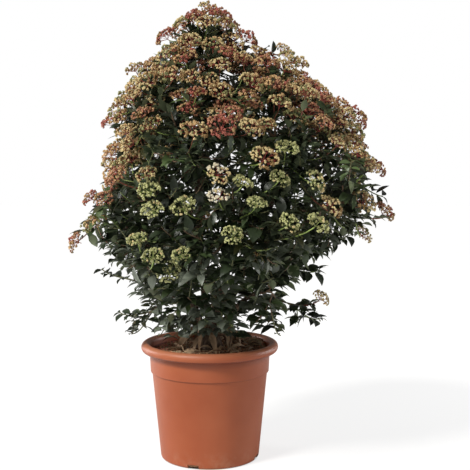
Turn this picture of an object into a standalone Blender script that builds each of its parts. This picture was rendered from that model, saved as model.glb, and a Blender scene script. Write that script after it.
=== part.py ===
# A potted viburnum: a moulded container with a rolled lip, the potting soil that fills it, a short
# rootstock, the boughs that rise from it, and the masses of leaves and flower heads that they carry.
# Metres, +Z up, -Y is the front. The origin is the middle of the pot's flat underside.

import math
import random

import bmesh
import bpy
import numpy as np
from mathutils import Vector

UP = Vector((0, 0, 1))
GAP = 0.0003  # clearance between neighbouring pieces

# Pot: outer sizes, then the wall and the drain slots round its foot
POT_HEIGHT = 0.357
LIP_OUTER_RADIUS = 0.210
LIP_ROLL_RADIUS = 0.0146
LIP_ROLL_STEPS = 8
COLLAR_TOP_RADIUS = 0.1845
COLLAR_FOOT_RADIUS = 0.1815
COLLAR_FOOT_HEIGHT = 0.267
COLLAR_STEP = 0.0045
BODY_FOOT_RADIUS = 0.1515
FOOT_ROUNDING = 0.009
FOOT_ROUNDING_STEPS = 3
WALL = 0.0035
FLOOR = 0.006
POT_SIDES = 40
DRAIN_SLOTS = 4
DRAIN_FIRST_TURN = math.radians(-108)  # seen from above, measured from +X: 18 degrees left of the front
DRAIN_WIDTH = 0.035
DRAIN_HEIGHT = 0.013
DRAIN_INNER_RADIUS = 0.126

# Soil: its level at the wall and the flat rise that the rootstock stands on
SOIL_TOP = 0.338
SOIL_WALL_LEVEL = 0.331
SOIL_RISE_RADIUS = 0.060

# Rootstock: root flare, then a short lean taper up to the fork
TRUNK_HEIGHT = 0.085
TRUNK_FLARE_RADIUS = 0.040
TRUNK_TOP_RADIUS = 0.024
TRUNK_LEAN = Vector((0.010, 0.004, 0))
TRUNK_RINGS = 5
TRUNK_SIDES = 12
FLARE_LOBES = 4
FLARE_DEPTH = 0.16
TRUNK_BUDS = 14  # places where a bough can leave the rootstock

# Boughs
BOUGH_SIDES = 5
BOUGH_SEGMENT = 0.075
BOUGH_LEADER_RADIUS = 0.0095
BOUGH_TIP_RADIUS = 0.0042
BOUGH_SHARE = 0.74  # a side bough's radius over its parent's where it leaves it
BOUGH_CLEARANCE = 0.004
HEART = 0.52  # the share of a lobe's radius that its bough ends at and no other bough comes into
OWN_HEART = 0.017  # how much smaller a lobe's heart is to its own bough
TRUNK_PULL = 0.80  # how much nearer the rootstock counts than another bough
LEAST_CLIMB = 0.35  # the share of its length by which a bough rises at no extra cost
CLIMB_COST = 6
BEAD_SPACING = 0.006  # how closely a limb is sampled where its clearance is looked at

# Twigs: all three-sided, each one curve from a joint of what has grown to the next tip
TWIG_SIDES = 3
TWIG_SEGMENT = 0.075
TWIG_FOOT_RADIUS = 0.0027
TWIG_TIP_RADIUS = 0.0019
TIP_CANDIDATES = 120
TURN_COST = 1.1  # how strongly a new twig keeps to the way its parent runs
SPACE_MARGIN = 0.0015  # each mass keeps this far inside its own space
FOLIAGE_FLOOR = POT_HEIGHT + 0.022
FOLIAGE_CLEARANCE = 0.004  # from any limb

# Leaves and flower heads: larger than life, because there are fewer of them than on the plant
LEAF_LENGTH = 0.112
LEAF_WIDTH = 0.054
LEAF_LOBE = 0.150  # the radius of a lobe whose leaves have that size, others in proportion
LEAF_THICKNESS = 0.0030  # at the keel
LEAF_ARCH = 0.09
LEAF_SPREAD = math.radians(70)
LEAF_TRIES = (  # further turn round the twig, and size
    (0, 1), (0.45, 1), (-0.45, 1), (0.9, 1), (-0.9, 1), (0, 0.75), (0.6, 0.75), (-0.6, 0.75),
)
LEAF_FIRST_PAIR = 0.009  # behind the tip
LEAF_PAIR_SPACING = 0.042
LEAF_PAIRS = 2
LEAF_PAIRS_BARREN = 3  # on a shoot with no flower head
LEAF_ROOM = 0.013  # kept free round each part of a leaf or head
SPOTS_ACROSS = 4  # how closely a leaf or head is sampled where its room is looked at
ROOT_ZONE = 0.018  # not looked at round a root, where leaves and twig meet
STEM_ZONE = 0.012  # not looked at where a stem meets its own bough
HEAD_RADIUS = 0.044
HEAD_HEIGHT = 0.020
HEAD_DEPTH = 0.022
HEAD_SIDES = 6

# Crown: tiers of lobes, each lobe the space of one mass. Left, right and depth are the tier's reach
# from the pot's axis, slope how far its right side lies above its middle, rise the angle at which a
# bough comes in, tips the shoots of each mass, bloom the share of them with a flower head, and leader
# how far the foremost shoot goes, over the lobe's radius.
TIERS = (
    dict(name="top", lobes=1, turn=0, height=1.247, slope=0, lobe=0.126, left=0.146, right=0.106,
         depth=0.126, rise=86, tips=8, bloom=1.0, leader=1.0),
    dict(name="crest", lobes=4, turn=0, height=1.120, slope=0.026, lobe=0.128, left=0.275,
         right=0.312, depth=0.280, rise=68, tips=7, bloom=1.0, leader=1.02),
    dict(name="shoulder", lobes=6, turn=0, height=0.965, slope=0.045, lobe=0.146, left=0.330,
         right=0.478, depth=0.405, rise=54, tips=7, bloom=0.90, leader=1.10),
    dict(name="waist", lobes=6, turn=30, height=0.748, slope=0.050, lobe=0.154, left=0.420,
         right=0.570, depth=0.450, rise=34, tips=8, bloom=0.55, leader=1.25),
    dict(name="skirt", lobes=5, turn=36, height=0.522, slope=0, lobe=0.130, left=0.305,
         right=0.380, depth=0.345, rise=10, tips=6, bloom=0.15, leader=1.12),
)


# Meshes and curves


def material(name, colour, roughness):
    made = bpy.data.materials.new(name)
    made.use_nodes = True
    shader = made.node_tree.nodes["Principled BSDF"]
    shader.inputs["Base Color"].default_value = (*colour, 1)
    shader.inputs["Roughness"].default_value = roughness
    shader.inputs["Metallic"].default_value = 0
    made.diffuse_color = (*colour, 1)
    return made


def mesh_object(name, points, faces, surface=None, collection=None):
    mesh = bpy.data.meshes.new(name)
    mesh.from_pydata([tuple(p) for p in points], [], faces)
    mesh.validate()
    made = bpy.data.objects.new(name, mesh)
    (collection or bpy.context.scene.collection).objects.link(made)
    if surface:
        mesh.materials.append(surface)
    return made


def turned(name, profile, sides, surface):
    """A closed solid of revolution from a profile that starts and ends on the axis, going up the outside."""
    points = [Vector((0, 0, profile[0][1]))]
    for radius, height in profile[1:-1]:
        for side in range(sides):
            angle = math.tau * side / sides
            points.append(Vector((radius * math.cos(angle), radius * math.sin(angle), height)))
    points.append(Vector((0, 0, profile[-1][1])))
    rings = len(profile) - 2
    faces = []
    for side in range(sides):
        after = (side + 1) % sides
        faces.append((0, 1 + after, 1 + side))
        for ring in range(rings - 1):
            low, high = 1 + ring * sides, 1 + (ring + 1) * sides
            faces.append((low + side, low + after, high + after, high + side))
        last = 1 + (rings - 1) * sides
        faces.append((last + side, last + after, len(points) - 1))
    return mesh_object(name, points, faces, surface)


def curve_between(start, start_way, end, end_way, steps, bow=0.36):
    """Points of the cubic that leaves start along start_way and comes in to end along end_way."""
    reach = (end - start).length * bow
    leave, arrive = start + start_way * reach, end - end_way * reach
    points = []
    for step in range(steps + 1):
        t = step / steps
        u = 1 - t
        points.append(start * u**3 + leave * (3 * t * u * u) + arrive * (3 * t * t * u) + end * t**3)
    return points


def shoot(start, start_way, end, end_way, steps, start_radius, end_radius, bow=0.36):
    """A tapering limb or twig: its centreline, its direction at each point, and its radius there."""
    line = curve_between(start, start_way, end, end_way, steps, bow)
    inner = [(line[i + 1] - line[i - 1]).normalized() for i in range(1, steps)]
    radii = [start_radius + (end_radius - start_radius) * i / steps for i in range(steps + 1)]
    return dict(line=line, ways=[start_way, *inner, end_way], radii=radii)


def side_of(way):
    """A level direction across way."""
    across = way.cross(UP)
    return across.normalized() if across.length > 0.05 else Vector((1, 0, 0))


def tube_mesh(made, sides, grow=0):
    """Points and faces of a closed tapering tube, its rings turned as little as possible."""
    across = side_of(made["ways"][0])
    ring_points = []
    for point, way, radius in zip(made["line"], made["ways"], made["radii"]):
        across = (across - way * across.dot(way)).normalized()
        other = way.cross(across)
        for side in range(sides):
            angle = math.tau * side / sides
            out = across * math.cos(angle) + other * math.sin(angle)
            ring_points.append(point + out * (radius + grow))
    faces = [tuple(reversed(range(sides)))]
    last = len(made["line"]) - 1
    for ring in range(last):
        low, high = ring * sides, (ring + 1) * sides
        for side in range(sides):
            after = (side + 1) % sides
            faces.append((low + side, low + after, high + after, high + side))
    faces.append(tuple(range(last * sides, (last + 1) * sides)))
    return ring_points, faces


def apply_modifiers(target):
    """The object's mesh as its modifiers leave it, with the modifiers gone."""
    graph = bpy.context.evaluated_depsgraph_get()
    made = bpy.data.meshes.new_from_object(target.evaluated_get(graph))
    target.modifiers.clear()
    target.data = made


def keep_main_body(target):
    """Removes loose scraps, and the walls of hollows sealed inside, so that one closed body is left."""
    work = bmesh.new()
    work.from_mesh(target.data)
    waiting, bodies = set(work.verts), []
    while waiting:
        body, edge = set(), [waiting.pop()]
        while edge:
            vert = edge.pop()
            body.add(vert)
            for link in vert.link_edges:
                other = link.other_vert(vert)
                if other in waiting:
                    waiting.discard(other)
                    edge.append(other)
        bodies.append(body)
    largest = max(bodies, key=lambda body: body_size(body))
    for body in bodies:
        if body is not largest:
            bmesh.ops.delete(work, geom=list(body), context="VERTS")
    work.to_mesh(target.data)
    work.free()


def body_size(body):
    """The diagonal of a body's box."""
    sides = [[vert.co[axis] for vert in body] for axis in range(3)]
    return math.hypot(*(max(side) - min(side) for side in sides))


def cut(target, cutter):
    """Takes cutter away from target, for good, and removes it."""
    modifier = target.modifiers.new("Cut", "BOOLEAN")
    modifier.operation = "DIFFERENCE"
    modifier.solver = "EXACT"
    modifier.object = cutter
    apply_modifiers(target)
    keep_main_body(target)
    bpy.data.objects.remove(cutter)


# Pot, soil and rootstock


def inner_radius(height):
    """Inside of the pot's wall below the collar's step."""
    share = height / COLLAR_FOOT_HEIGHT
    foot, top = BODY_FOOT_RADIUS - WALL, COLLAR_FOOT_RADIUS - COLLAR_STEP - WALL
    return foot + (top - foot) * share


def inner_profile(inset, floor):
    """The inside of the pot from the floor's edge up to the collar's step, drawn in by inset."""
    step_height = COLLAR_FOOT_HEIGHT
    return [
        (inner_radius(floor) - inset, floor),
        (inner_radius(step_height) - inset, step_height),
        (COLLAR_FOOT_RADIUS - WALL - inset, step_height + COLLAR_STEP),
    ]


def lip_centre():
    return LIP_OUTER_RADIUS - LIP_ROLL_RADIUS, POT_HEIGHT - LIP_ROLL_RADIUS


def build_pot(surface):
    profile = [(0, 0)]
    for step in range(FOOT_ROUNDING_STEPS + 1):
        angle = math.radians(-90 + 90 * step / FOOT_ROUNDING_STEPS)
        profile.append((
            BODY_FOOT_RADIUS - FOOT_ROUNDING + FOOT_ROUNDING * math.cos(angle),
            FOOT_ROUNDING + FOOT_ROUNDING * math.sin(angle),
        ))
    profile.append((COLLAR_FOOT_RADIUS - COLLAR_STEP, COLLAR_FOOT_HEIGHT))
    profile.append((COLLAR_FOOT_RADIUS, COLLAR_FOOT_HEIGHT + COLLAR_STEP / 2))
    roll_radius, roll_height = lip_centre()
    first = -math.acos((COLLAR_TOP_RADIUS - roll_radius) / LIP_ROLL_RADIUS)
    for step in range(LIP_ROLL_STEPS + 1):
        angle = first + (math.pi - first) * step / LIP_ROLL_STEPS
        profile.append((
            roll_radius + LIP_ROLL_RADIUS * math.cos(angle),
            roll_height + LIP_ROLL_RADIUS * math.sin(angle),
        ))
    profile += reversed(inner_profile(0, FLOOR))
    profile.append((0, FLOOR))
    pot = turned("pot", profile, POT_SIDES, surface)
    for slot in range(DRAIN_SLOTS):
        cut(pot, drain_cutter(DRAIN_FIRST_TURN + math.tau * slot / DRAIN_SLOTS))
    return pot


def drain_cutter(turn):
    """A block across the pot's foot, through the wall's lower edge and the rim of its floor."""
    out = Vector((math.cos(turn), math.sin(turn), 0))
    across = Vector((-out.y, out.x, 0)) * DRAIN_WIDTH / 2
    outer = BODY_FOOT_RADIUS + FOOT_ROUNDING * 2
    corners = []
    for height in (-DRAIN_HEIGHT, DRAIN_HEIGHT):
        for radius, sign in ((DRAIN_INNER_RADIUS, -1), (outer, -1), (outer, 1), (DRAIN_INNER_RADIUS, 1)):
            corners.append(out * radius + across * sign + UP * height)
    faces = [(3, 2, 1, 0), (4, 5, 6, 7)] + [(i, (i + 1) % 4, (i + 1) % 4 + 4, i + 4) for i in range(4)]
    return mesh_object("drain_cutter", corners, faces)


def build_soil(surface):
    floor = FLOOR + GAP
    step_level = COLLAR_FOOT_HEIGHT + COLLAR_STEP
    share = (SOIL_WALL_LEVEL - step_level) / (lip_centre()[1] - step_level)
    foot, top = COLLAR_FOOT_RADIUS - WALL, lip_centre()[0] - LIP_ROLL_RADIUS
    profile = [(0, floor)] + inner_profile(GAP, floor)
    profile.append((foot + (top - foot) * share - GAP, SOIL_WALL_LEVEL))
    profile.append((SOIL_RISE_RADIUS, SOIL_TOP))
    profile.append((0, SOIL_TOP))
    return turned("soil", profile, POT_SIDES, surface)


def trunk_point(share):
    return UP * (SOIL_TOP + GAP + TRUNK_HEIGHT * share) + TRUNK_LEAN * share * share


def trunk_radius(share):
    return TRUNK_TOP_RADIUS + (TRUNK_FLARE_RADIUS - TRUNK_TOP_RADIUS) * (1 - share) ** 2.2


def trunk_mesh(grow):
    """Points and faces of the rootstock, made larger all round by grow."""
    points, faces = [], []
    for ring in range(TRUNK_RINGS + 1):
        share = ring / TRUNK_RINGS
        flare = FLARE_DEPTH * (1 - share) ** 2
        for side in range(TRUNK_SIDES):
            angle = math.tau * side / TRUNK_SIDES
            radius = trunk_radius(share) * (1 + flare * math.cos(FLARE_LOBES * angle)) + grow
            points.append(trunk_point(share) + Vector((math.cos(angle), math.sin(angle), 0)) * radius)
    points.append(trunk_point(1) + UP * (TRUNK_TOP_RADIUS * 0.35 + grow))
    crest = len(points) - 1
    faces.append(tuple(reversed(range(TRUNK_SIDES))))
    for side in range(TRUNK_SIDES):
        after = (side + 1) % TRUNK_SIDES
        for ring in range(TRUNK_RINGS):
            low, high = ring * TRUNK_SIDES, (ring + 1) * TRUNK_SIDES
            faces.append((low + side, low + after, high + after, high + side))
        faces.append((TRUNK_RINGS * TRUNK_SIDES + side, TRUNK_RINGS * TRUNK_SIDES + after, crest))
    return points, faces


# Crown plan: the lobes, their spaces, and the tips that the twigs of each grow to


def crown_lobes():
    lobes = []
    for tier in TIERS:
        for index in range(tier["lobes"]):
            name = tier["name"] if tier["lobes"] == 1 else f"{tier['name']}_{index + 1}"
            draw = random.Random("lobe " + name)
            turn = math.radians(tier["turn"] + 360 * index / tier["lobes"])
            centre = Vector(((tier["right"] - tier["left"]) / 2, 0, tier["height"]))
            out = Vector((
                math.cos(turn) * ((tier["right"] + tier["left"]) / 2 - tier["lobe"]),
                -math.sin(turn) * (tier["depth"] - tier["lobe"]),
                0,
            ))
            lift = tier["slope"] * math.cos(turn) + draw.uniform(-0.012, 0.012)
            rise = math.radians(tier["rise"])
            lobes.append(dict(
                name=name, tier=tier, radius=tier["lobe"], middle=centre + out + UP * lift,
                entry=(out.normalized() * math.cos(rise) + UP * math.sin(rise)).normalized(),
            ))
    for lobe in lobes:
        lobe["walls"] = lobe_walls(lobe, [other for other in lobes if other is not lobe])
    return lobes


def lobe_walls(lobe, others):
    """The planes round a lobe's own space, as outward normals and offsets. A larger lobe takes more."""
    normals, offsets = [-UP], [-FOLIAGE_FLOOR]
    for other in others:
        line = other["middle"] - lobe["middle"]
        share = 0.5 + (lobe["radius"] ** 2 - other["radius"] ** 2) / (2 * line.length_squared)
        normal = line.normalized()
        normals.append(normal)
        offsets.append(normal.dot(lobe["middle"] + line * share))
    return np.array(normals), np.array(offsets)


def keeps_space(lobe, points, margin=SPACE_MARGIN):
    """True if points lie in the lobe's own space."""
    normals, offsets = lobe["walls"]
    return bool((np.array(points) @ normals.T < offsets - margin).all())


def lobe_tips(lobe):
    """Shoot tips over the outside of a lobe, ordered so that the first few already spread all over it."""
    draw = random.Random("tips " + lobe["name"])
    reach = lobe["radius"] - HEAD_HEIGHT
    found = []
    for index in range(TIP_CANDIDATES):
        height = 1 - 2 * (index + 0.5) / TIP_CANDIDATES
        turn = index * math.pi * (3 - math.sqrt(5)) + draw.uniform(-0.15, 0.15)
        flat = math.sqrt(1 - height * height)
        way = Vector((flat * math.cos(turn), flat * math.sin(turn), height))
        tip = lobe["middle"] + way * reach * draw.uniform(0.88, 1.04)
        if way.dot(lobe["entry"]) > -0.45 and keeps_space(lobe, [tip], 0.022):
            found.append(tip)
    forward = reach * lobe["tier"]["leader"]
    while not keeps_space(lobe, [lobe["middle"] + lobe["entry"] * forward], 0.015):
        forward *= 0.95
    ordered = [lobe["middle"] + lobe["entry"] * forward]
    while found:
        best = max(found, key=lambda tip: min((tip - done).length for done in ordered))
        ordered.append(best)
        found.remove(best)
    return ordered


# Growth: the one rule for boughs and twigs


def joint_cost(joint, target):
    line = target - joint["place"]
    bend = 1 - joint["way"].dot(line.normalized())
    return line.length * (1 + TURN_COST * bend) * joint["pull"]


def leave_way(joint, target):
    """The direction in which a new limb leaves a joint."""
    return (joint["way"] * 0.45 + (target - joint["place"]).normalized()).normalized()


def in_trunk(point):
    share = max(0, (point.z - SOIL_TOP) / TRUNK_HEIGHT)
    away = point - trunk_point(min(share, 1))
    return share < 1 and math.hypot(away.x, away.y) < trunk_radius(share)


def beads_of(limb):
    """The limb as closely spaced beads outside the rootstock: rows of x, y, z and radius."""
    rows = []
    for place, after, radius in zip(limb["line"], limb["line"][1:], limb["radii"]):
        count = math.ceil((after - place).length / BEAD_SPACING)
        for step in range(count + 1):
            bead = place.lerp(after, step / count)
            if not in_trunk(bead):
                rows.append((*bead, radius))
    return np.array(rows)


def clear_of(points, room, beads):
    """True if points keep more than room off every bead."""
    if len(beads) == 0 or len(points) == 0:
        return True
    lines = np.array(points)[:, None, :] - beads[None, :, :3]
    return bool((np.linalg.norm(lines, axis=2) - beads[None, :, 3]).min() > room)


def trunk_joints():
    joints = []
    for bud in range(TRUNK_BUDS):
        share = 0.35 + 0.55 * bud / (TRUNK_BUDS - 1)
        turn = bud * math.pi * (3 - math.sqrt(5))
        out = Vector((math.cos(turn), math.sin(turn), 0))
        place = trunk_point(share) + out * trunk_radius(share) * 0.45
        way = (out * 0.6 + UP * 0.8).normalized()
        joints.append(dict(place=place, way=way, radius=BOUGH_LEADER_RADIUS, limb=None, pull=TRUNK_PULL))
    return joints


def in_the_way(joint, limbs, lobe, lobes):
    """Beads that a new bough from the joint keeps off: the other limbs, and the lobes' hearts."""
    hearts = []
    for other in lobes:
        smaller = OWN_HEART if other is lobe else 0
        hearts.append((*other["middle"], other["radius"] * HEART - smaller))
    found = [np.array(hearts)]
    for limb in limbs:
        beads = limb["beads"]
        if limb is joint["limb"]:
            away = np.linalg.norm(beads[:, :3] - np.array(joint["place"]), axis=1)
            beads = beads[away > limb["radii"][0] * 4 + 0.02]
        found.append(beads)
    return np.concatenate(found)


def bough_cost(joint, bow, foot):
    """A bough climbs: the cost rises steeply where it would run level or come down."""
    line = foot - joint["place"]
    climb = line.z / line.length
    return joint_cost(joint, foot) * (1 + abs(bow - 0.36)) * (1 + CLIMB_COST * max(0, LEAST_CLIMB - climb))


def plan_boughs(lobes):
    """Each lobe's bough, from the rootstock or an earlier bough to the lobe's foot."""
    joints, limbs = trunk_joints(), []
    for lobe in lobes:
        foot = lobe["middle"] - lobe["entry"] * lobe["radius"] * HEART
        choices = [(joint, bow) for bow in (0.36, 0.22, 0.50) for joint in joints]
        choices.sort(key=lambda choice: bough_cost(*choice, foot))
        for joint, bow in choices:
            start = max(joint["radius"], BOUGH_TIP_RADIUS * 1.25)
            course = (joint["place"], leave_way(joint, foot), foot, lobe["entry"])
            outside = [point for point in curve_between(*course, 60, bow) if not in_trunk(point)]
            if clear_of(outside, start + BOUGH_CLEARANCE, in_the_way(joint, limbs, lobe, lobes)):
                break
        else:
            raise RuntimeError(f"no clear way for the bough of {lobe['name']}")
        joints.remove(joint)
        steps = max(3, round((foot - joint["place"]).length / BOUGH_SEGMENT))
        limb = shoot(*course, steps, start, BOUGH_TIP_RADIUS, bow)
        limb.update(parent=joint["limb"], lobe=lobe)
        limb["beads"] = beads_of(limb)
        limbs.append(limb)
        for place, way, radius in list(zip(limb["line"], limb["ways"], limb["radii"]))[1:-1]:
            joints.append(dict(place=place, way=way, radius=radius * BOUGH_SHARE, limb=limb, pull=1))
    return limbs


def build_boughs(limbs, surface):
    """The limbs as solids. Each is cut GAP clear of what it grows from."""
    for limb in limbs:
        bough = mesh_object("bough_" + limb["lobe"]["name"], *tube_mesh(limb, BOUGH_SIDES), surface)
        if limb["parent"]:
            cutter = mesh_object("cutter", *tube_mesh(limb["parent"], BOUGH_SIDES, GAP))
        else:
            cutter = mesh_object("cutter", *trunk_mesh(GAP))
        cut(bough, cutter)


# Masses of leaves and flower heads


def leaf_mesh(root, way, face_up, size):
    """A leaf of six faces: a kite that arches over its widest line, with a keel under its rib."""
    length, width = LEAF_LENGTH * size, LEAF_WIDTH * size
    across = way.cross(face_up).normalized()
    normal = across.cross(way).normalized()
    widest = root + way * length * 0.46 + normal * length * LEAF_ARCH
    points = [
        root,
        widest - across * width / 2,
        widest + across * width / 2,
        root + way * length,
        widest - normal * LEAF_THICKNESS,
    ]
    faces = [(0, 2, 1), (1, 2, 3), (0, 1, 4), (4, 1, 3), (2, 4, 3), (0, 4, 2)]
    return points, faces


def head_mesh(foot, way, size):
    """A flower head: a low dome over a shallow cone."""
    across = side_of(way)
    other = way.cross(across)
    points = [foot, foot + way * (HEAD_DEPTH + HEAD_HEIGHT) * size]
    for side in range(HEAD_SIDES):
        angle = math.tau * side / HEAD_SIDES
        rim = (across * math.cos(angle) + other * math.sin(angle)) * HEAD_RADIUS * size
        points.append(foot + way * HEAD_DEPTH * size + rim)
    faces = []
    for side in range(HEAD_SIDES):
        this, after = 2 + side, 2 + (side + 1) % HEAD_SIDES
        faces.append((0, after, this))
        faces.append((1, this, after))
    return points, faces


def grow_twigs(lobe, bough, beads):
    """The twigs of a mass. The first goes on from the bough's tip."""
    way = bough["ways"][-1]
    start = bough["line"][-1] + way * GAP
    twigs, joints = [], []
    for tip in lobe_tips(lobe):
        if len(twigs) == lobe["tier"]["tips"]:
            break
        if not twigs:
            place, leave, foot_radius = start, way, BOUGH_TIP_RADIUS
        else:
            joint = min(joints, key=lambda j: joint_cost(j, tip))
            place, leave, foot_radius = joint["place"], leave_way(joint, tip), TWIG_FOOT_RADIUS
        steps = max(2, round((tip - place).length / TWIG_SEGMENT))
        end_way = ((tip - place).normalized() + UP * 0.25).normalized()
        twig = shoot(place, leave, tip, end_way, steps, foot_radius, TWIG_TIP_RADIUS)
        along = beads_of(twig)[:, :3]
        if not twigs:
            along = along[np.linalg.norm(along - np.array(start), axis=1) > STEM_ZONE]
        if not (keeps_space(lobe, twig["line"]) and clear_of(along, FOLIAGE_CLEARANCE, beads)):
            continue
        twigs.append(twig)
        for place, way in list(zip(twig["line"], twig["ways"]))[1:-1]:
            joints.append(dict(place=place, way=way, pull=1))
    return twigs


def back_from_tip(twig, distance):
    """The place on a twig that lies distance before its tip."""
    line = twig["line"]
    for after, before in zip(reversed(line), reversed(line[:-1])):
        length = (after - before).length
        if distance < length:
            return after.lerp(before, distance / length)
        distance -= length
    return line[0]


def leaf_choices(lobe, twig, back, turn, outside, draw):
    """The places that one leaf may take, best first: turned to either side, then smaller."""
    place, way = back_from_tip(twig, back), twig["ways"][-1]
    across = side_of(way)
    other = way.cross(across)
    size = draw.uniform(0.92, 1.1) * lobe["radius"] / LEAF_LOBE
    for offset, share in LEAF_TRIES:
        out = across * math.cos(turn + offset) + other * math.sin(turn + offset)
        leaf_way = (way * math.cos(LEAF_SPREAD) + out * math.sin(LEAF_SPREAD) - UP * 0.12).normalized()
        face_up = (UP * 0.7 + outside * 0.5 + way * 0.3).normalized()
        yield leaf_mesh(place, leaf_way, face_up, size * share)


def head_choices(twig, outside, draw):
    """The flower heads that a tip may carry, best first: the full size, then smaller."""
    tip, way = twig["line"][-1], twig["ways"][-1]
    size = draw.uniform(0.95, 1.1)
    for share in (1, 0.82, 0.66):
        for lean in (1, 0.3):
            yield head_mesh(tip - way * 0.004, (way + outside * 0.6 + UP * lean).normalized(), size * share)


def spots_on(points, faces):
    """Points spread evenly over the faces of a leaf or head."""
    spots = []
    for a, b, c in faces:
        for i in range(SPOTS_ACROSS + 1):
            for j in range(SPOTS_ACROSS + 1 - i):
                k = SPOTS_ACROSS - i - j
                spots.append((points[a] * i + points[b] * j + points[c] * k) / SPOTS_ACROSS)
    return spots


def dress_twigs(lobe, twigs, beads):
    """The leaves and flower heads of a mass. Each takes the first of its places that is still free."""
    draw = random.Random("dressing " + lobe["name"])
    taken = np.concatenate([beads_of(twig) for twig in twigs])
    plans = []
    for twig in twigs:
        outside = (twig["line"][-1] - lobe["middle"]).normalized()
        blooms = draw.random() < lobe["tier"]["bloom"]
        if blooms:
            plans.insert(0, head_choices(twig, outside, draw))
        for pair in range(LEAF_PAIRS if blooms else LEAF_PAIRS_BARREN):
            turn = draw.uniform(-0.5, 0.5) + pair * math.pi / 2
            for side in (0, math.pi):
                back = LEAF_FIRST_PAIR + pair * LEAF_PAIR_SPACING
                plans.append(leaf_choices(lobe, twig, back, turn + side, outside, draw))
    parts = []
    for choices in plans:
        for points, faces in choices:
            spots = spots_on(points, faces)
            blade = [spot for spot in spots if (spot - points[0]).length > ROOT_ZONE]
            if not (keeps_space(lobe, points) and clear_of(spots, FOLIAGE_CLEARANCE, beads)):
                continue
            if clear_of(blade, LEAF_ROOM, taken):
                parts.append((points, faces))
                taken = np.concatenate([taken, np.array([(*spot, 0) for spot in blade])])
                break
    return parts


def build_mass(lobe, limbs, beads, surface):
    """One mass: its twigs, leaves and heads joined by one union."""
    bough = next(limb for limb in limbs if limb["lobe"] is lobe)
    twigs = grow_twigs(lobe, bough, beads)
    pieces = [tube_mesh(twig, TWIG_SIDES) for twig in twigs]
    pieces += dress_twigs(lobe, twigs, beads)
    mass = mesh_object("foliage_" + lobe["name"], *pieces[0], surface)
    joined = bpy.data.collections.new("pieces of " + lobe["name"])
    bpy.context.scene.collection.children.link(joined)
    for points, faces in pieces[1:]:
        mesh_object("piece", points, faces, collection=joined)
    union = mass.modifiers.new("Join", "BOOLEAN")
    union.operation = "UNION"
    union.operand_type = "COLLECTION"
    union.solver = "EXACT"
    union.collection = joined
    apply_modifiers(mass)
    keep_main_body(mass)
    for piece in list(joined.objects):
        bpy.data.objects.remove(piece)
    bpy.data.collections.remove(joined)
    return mass


def main():
    for old in list(bpy.data.objects):
        bpy.data.objects.remove(old)
    terracotta = material("Terracotta plastic", (0.50, 0.165, 0.078), 0.45)
    soil = material("Potting soil", (0.045, 0.028, 0.018), 0.95)
    bark = material("Bark", (0.13, 0.085, 0.055), 0.85)
    foliage = material("Leaves", (0.035, 0.075, 0.03), 0.5)
    build_pot(terracotta)
    build_soil(soil)
    mesh_object("trunk", *trunk_mesh(0), bark)
    lobes = crown_lobes()
    limbs = plan_boughs(lobes)
    build_boughs(limbs, bark)
    beads = np.concatenate([limb["beads"] for limb in limbs])
    for lobe in lobes:
        away = np.linalg.norm(beads[:, :3] - np.array(lobe["middle"]), axis=1)
        build_mass(lobe, limbs, beads[away < lobe["radius"] * 2.2], foliage)


main()
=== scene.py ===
# A flowering viburnum in its plastic container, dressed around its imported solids.
# Everything is in metres, +Z up, with the front towards -Y and the origin under the middle of the pot.
import math
import random

import bmesh
import bpy
import numpy as np
from mathutils import Matrix, Vector, noise


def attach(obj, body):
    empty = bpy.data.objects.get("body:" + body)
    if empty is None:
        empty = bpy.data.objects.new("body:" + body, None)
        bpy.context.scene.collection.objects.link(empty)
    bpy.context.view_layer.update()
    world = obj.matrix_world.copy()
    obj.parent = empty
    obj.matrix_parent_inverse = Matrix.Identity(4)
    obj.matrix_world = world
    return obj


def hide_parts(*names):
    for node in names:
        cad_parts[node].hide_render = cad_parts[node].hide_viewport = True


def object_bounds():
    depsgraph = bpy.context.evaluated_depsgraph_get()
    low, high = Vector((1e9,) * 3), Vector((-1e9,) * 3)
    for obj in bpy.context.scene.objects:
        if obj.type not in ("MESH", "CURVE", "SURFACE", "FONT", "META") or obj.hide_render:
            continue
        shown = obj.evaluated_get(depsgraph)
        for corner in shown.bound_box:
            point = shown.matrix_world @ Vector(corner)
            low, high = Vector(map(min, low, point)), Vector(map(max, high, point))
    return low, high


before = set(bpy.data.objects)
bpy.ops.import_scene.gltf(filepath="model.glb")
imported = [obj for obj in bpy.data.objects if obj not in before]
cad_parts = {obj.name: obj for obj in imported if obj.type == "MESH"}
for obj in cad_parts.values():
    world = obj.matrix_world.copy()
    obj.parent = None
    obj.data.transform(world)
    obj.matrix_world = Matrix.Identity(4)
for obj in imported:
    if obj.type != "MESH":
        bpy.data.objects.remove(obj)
cadLow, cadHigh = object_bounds()
up = Vector((0, 0, 1))
goldenTurn = math.pi * (3 - math.sqrt(5))
massNodes = sorted(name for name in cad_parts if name.startswith("foliage_"))
boughNodes = sorted(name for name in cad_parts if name.startswith("bough_"))
print("frame loaded:", len(massNodes), "masses,", len(boughNodes), "boughs")


# Camera, lights and floor
studio = dict(
    cameraPlace=(0.0775, -2.95, 0.936), cameraPitch=4.88, lens=74.45, sensor=36,
    daylight=0.215, backdrop=1.0, aim=(0.05, 0, 0.75),
    floorReach=14, floorColour=(0.78, 0.78, 0.78), floorShade=0.985, floorRough=0.9, floorScale=3,
    floorGlow=0.76, floorSeen=0.36,  # what the camera sees of it: mostly glow, so the shadow stays faint
    paintedShadowUnderPot=(0.140, 0.150),  # painted shadow under the pot: the glow begins past the pot's foot, so the drain slots look dark
    keyFrom=(-2.12, -1.96, 3.48), keyPower=2.95, keySoft=14, keyColour=(1.0, 0.98, 0.935),
    lamps=dict(  # place, size and power
        rimLeft=((-2.7, 1.3, 0.9), 1.4, 50),
        rimRight=((2.9, 1.3, 0.9), 1.4, 38),
        low=((-0.9, -2.6, 0.25), 1.6, 10),
    ),
)


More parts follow.
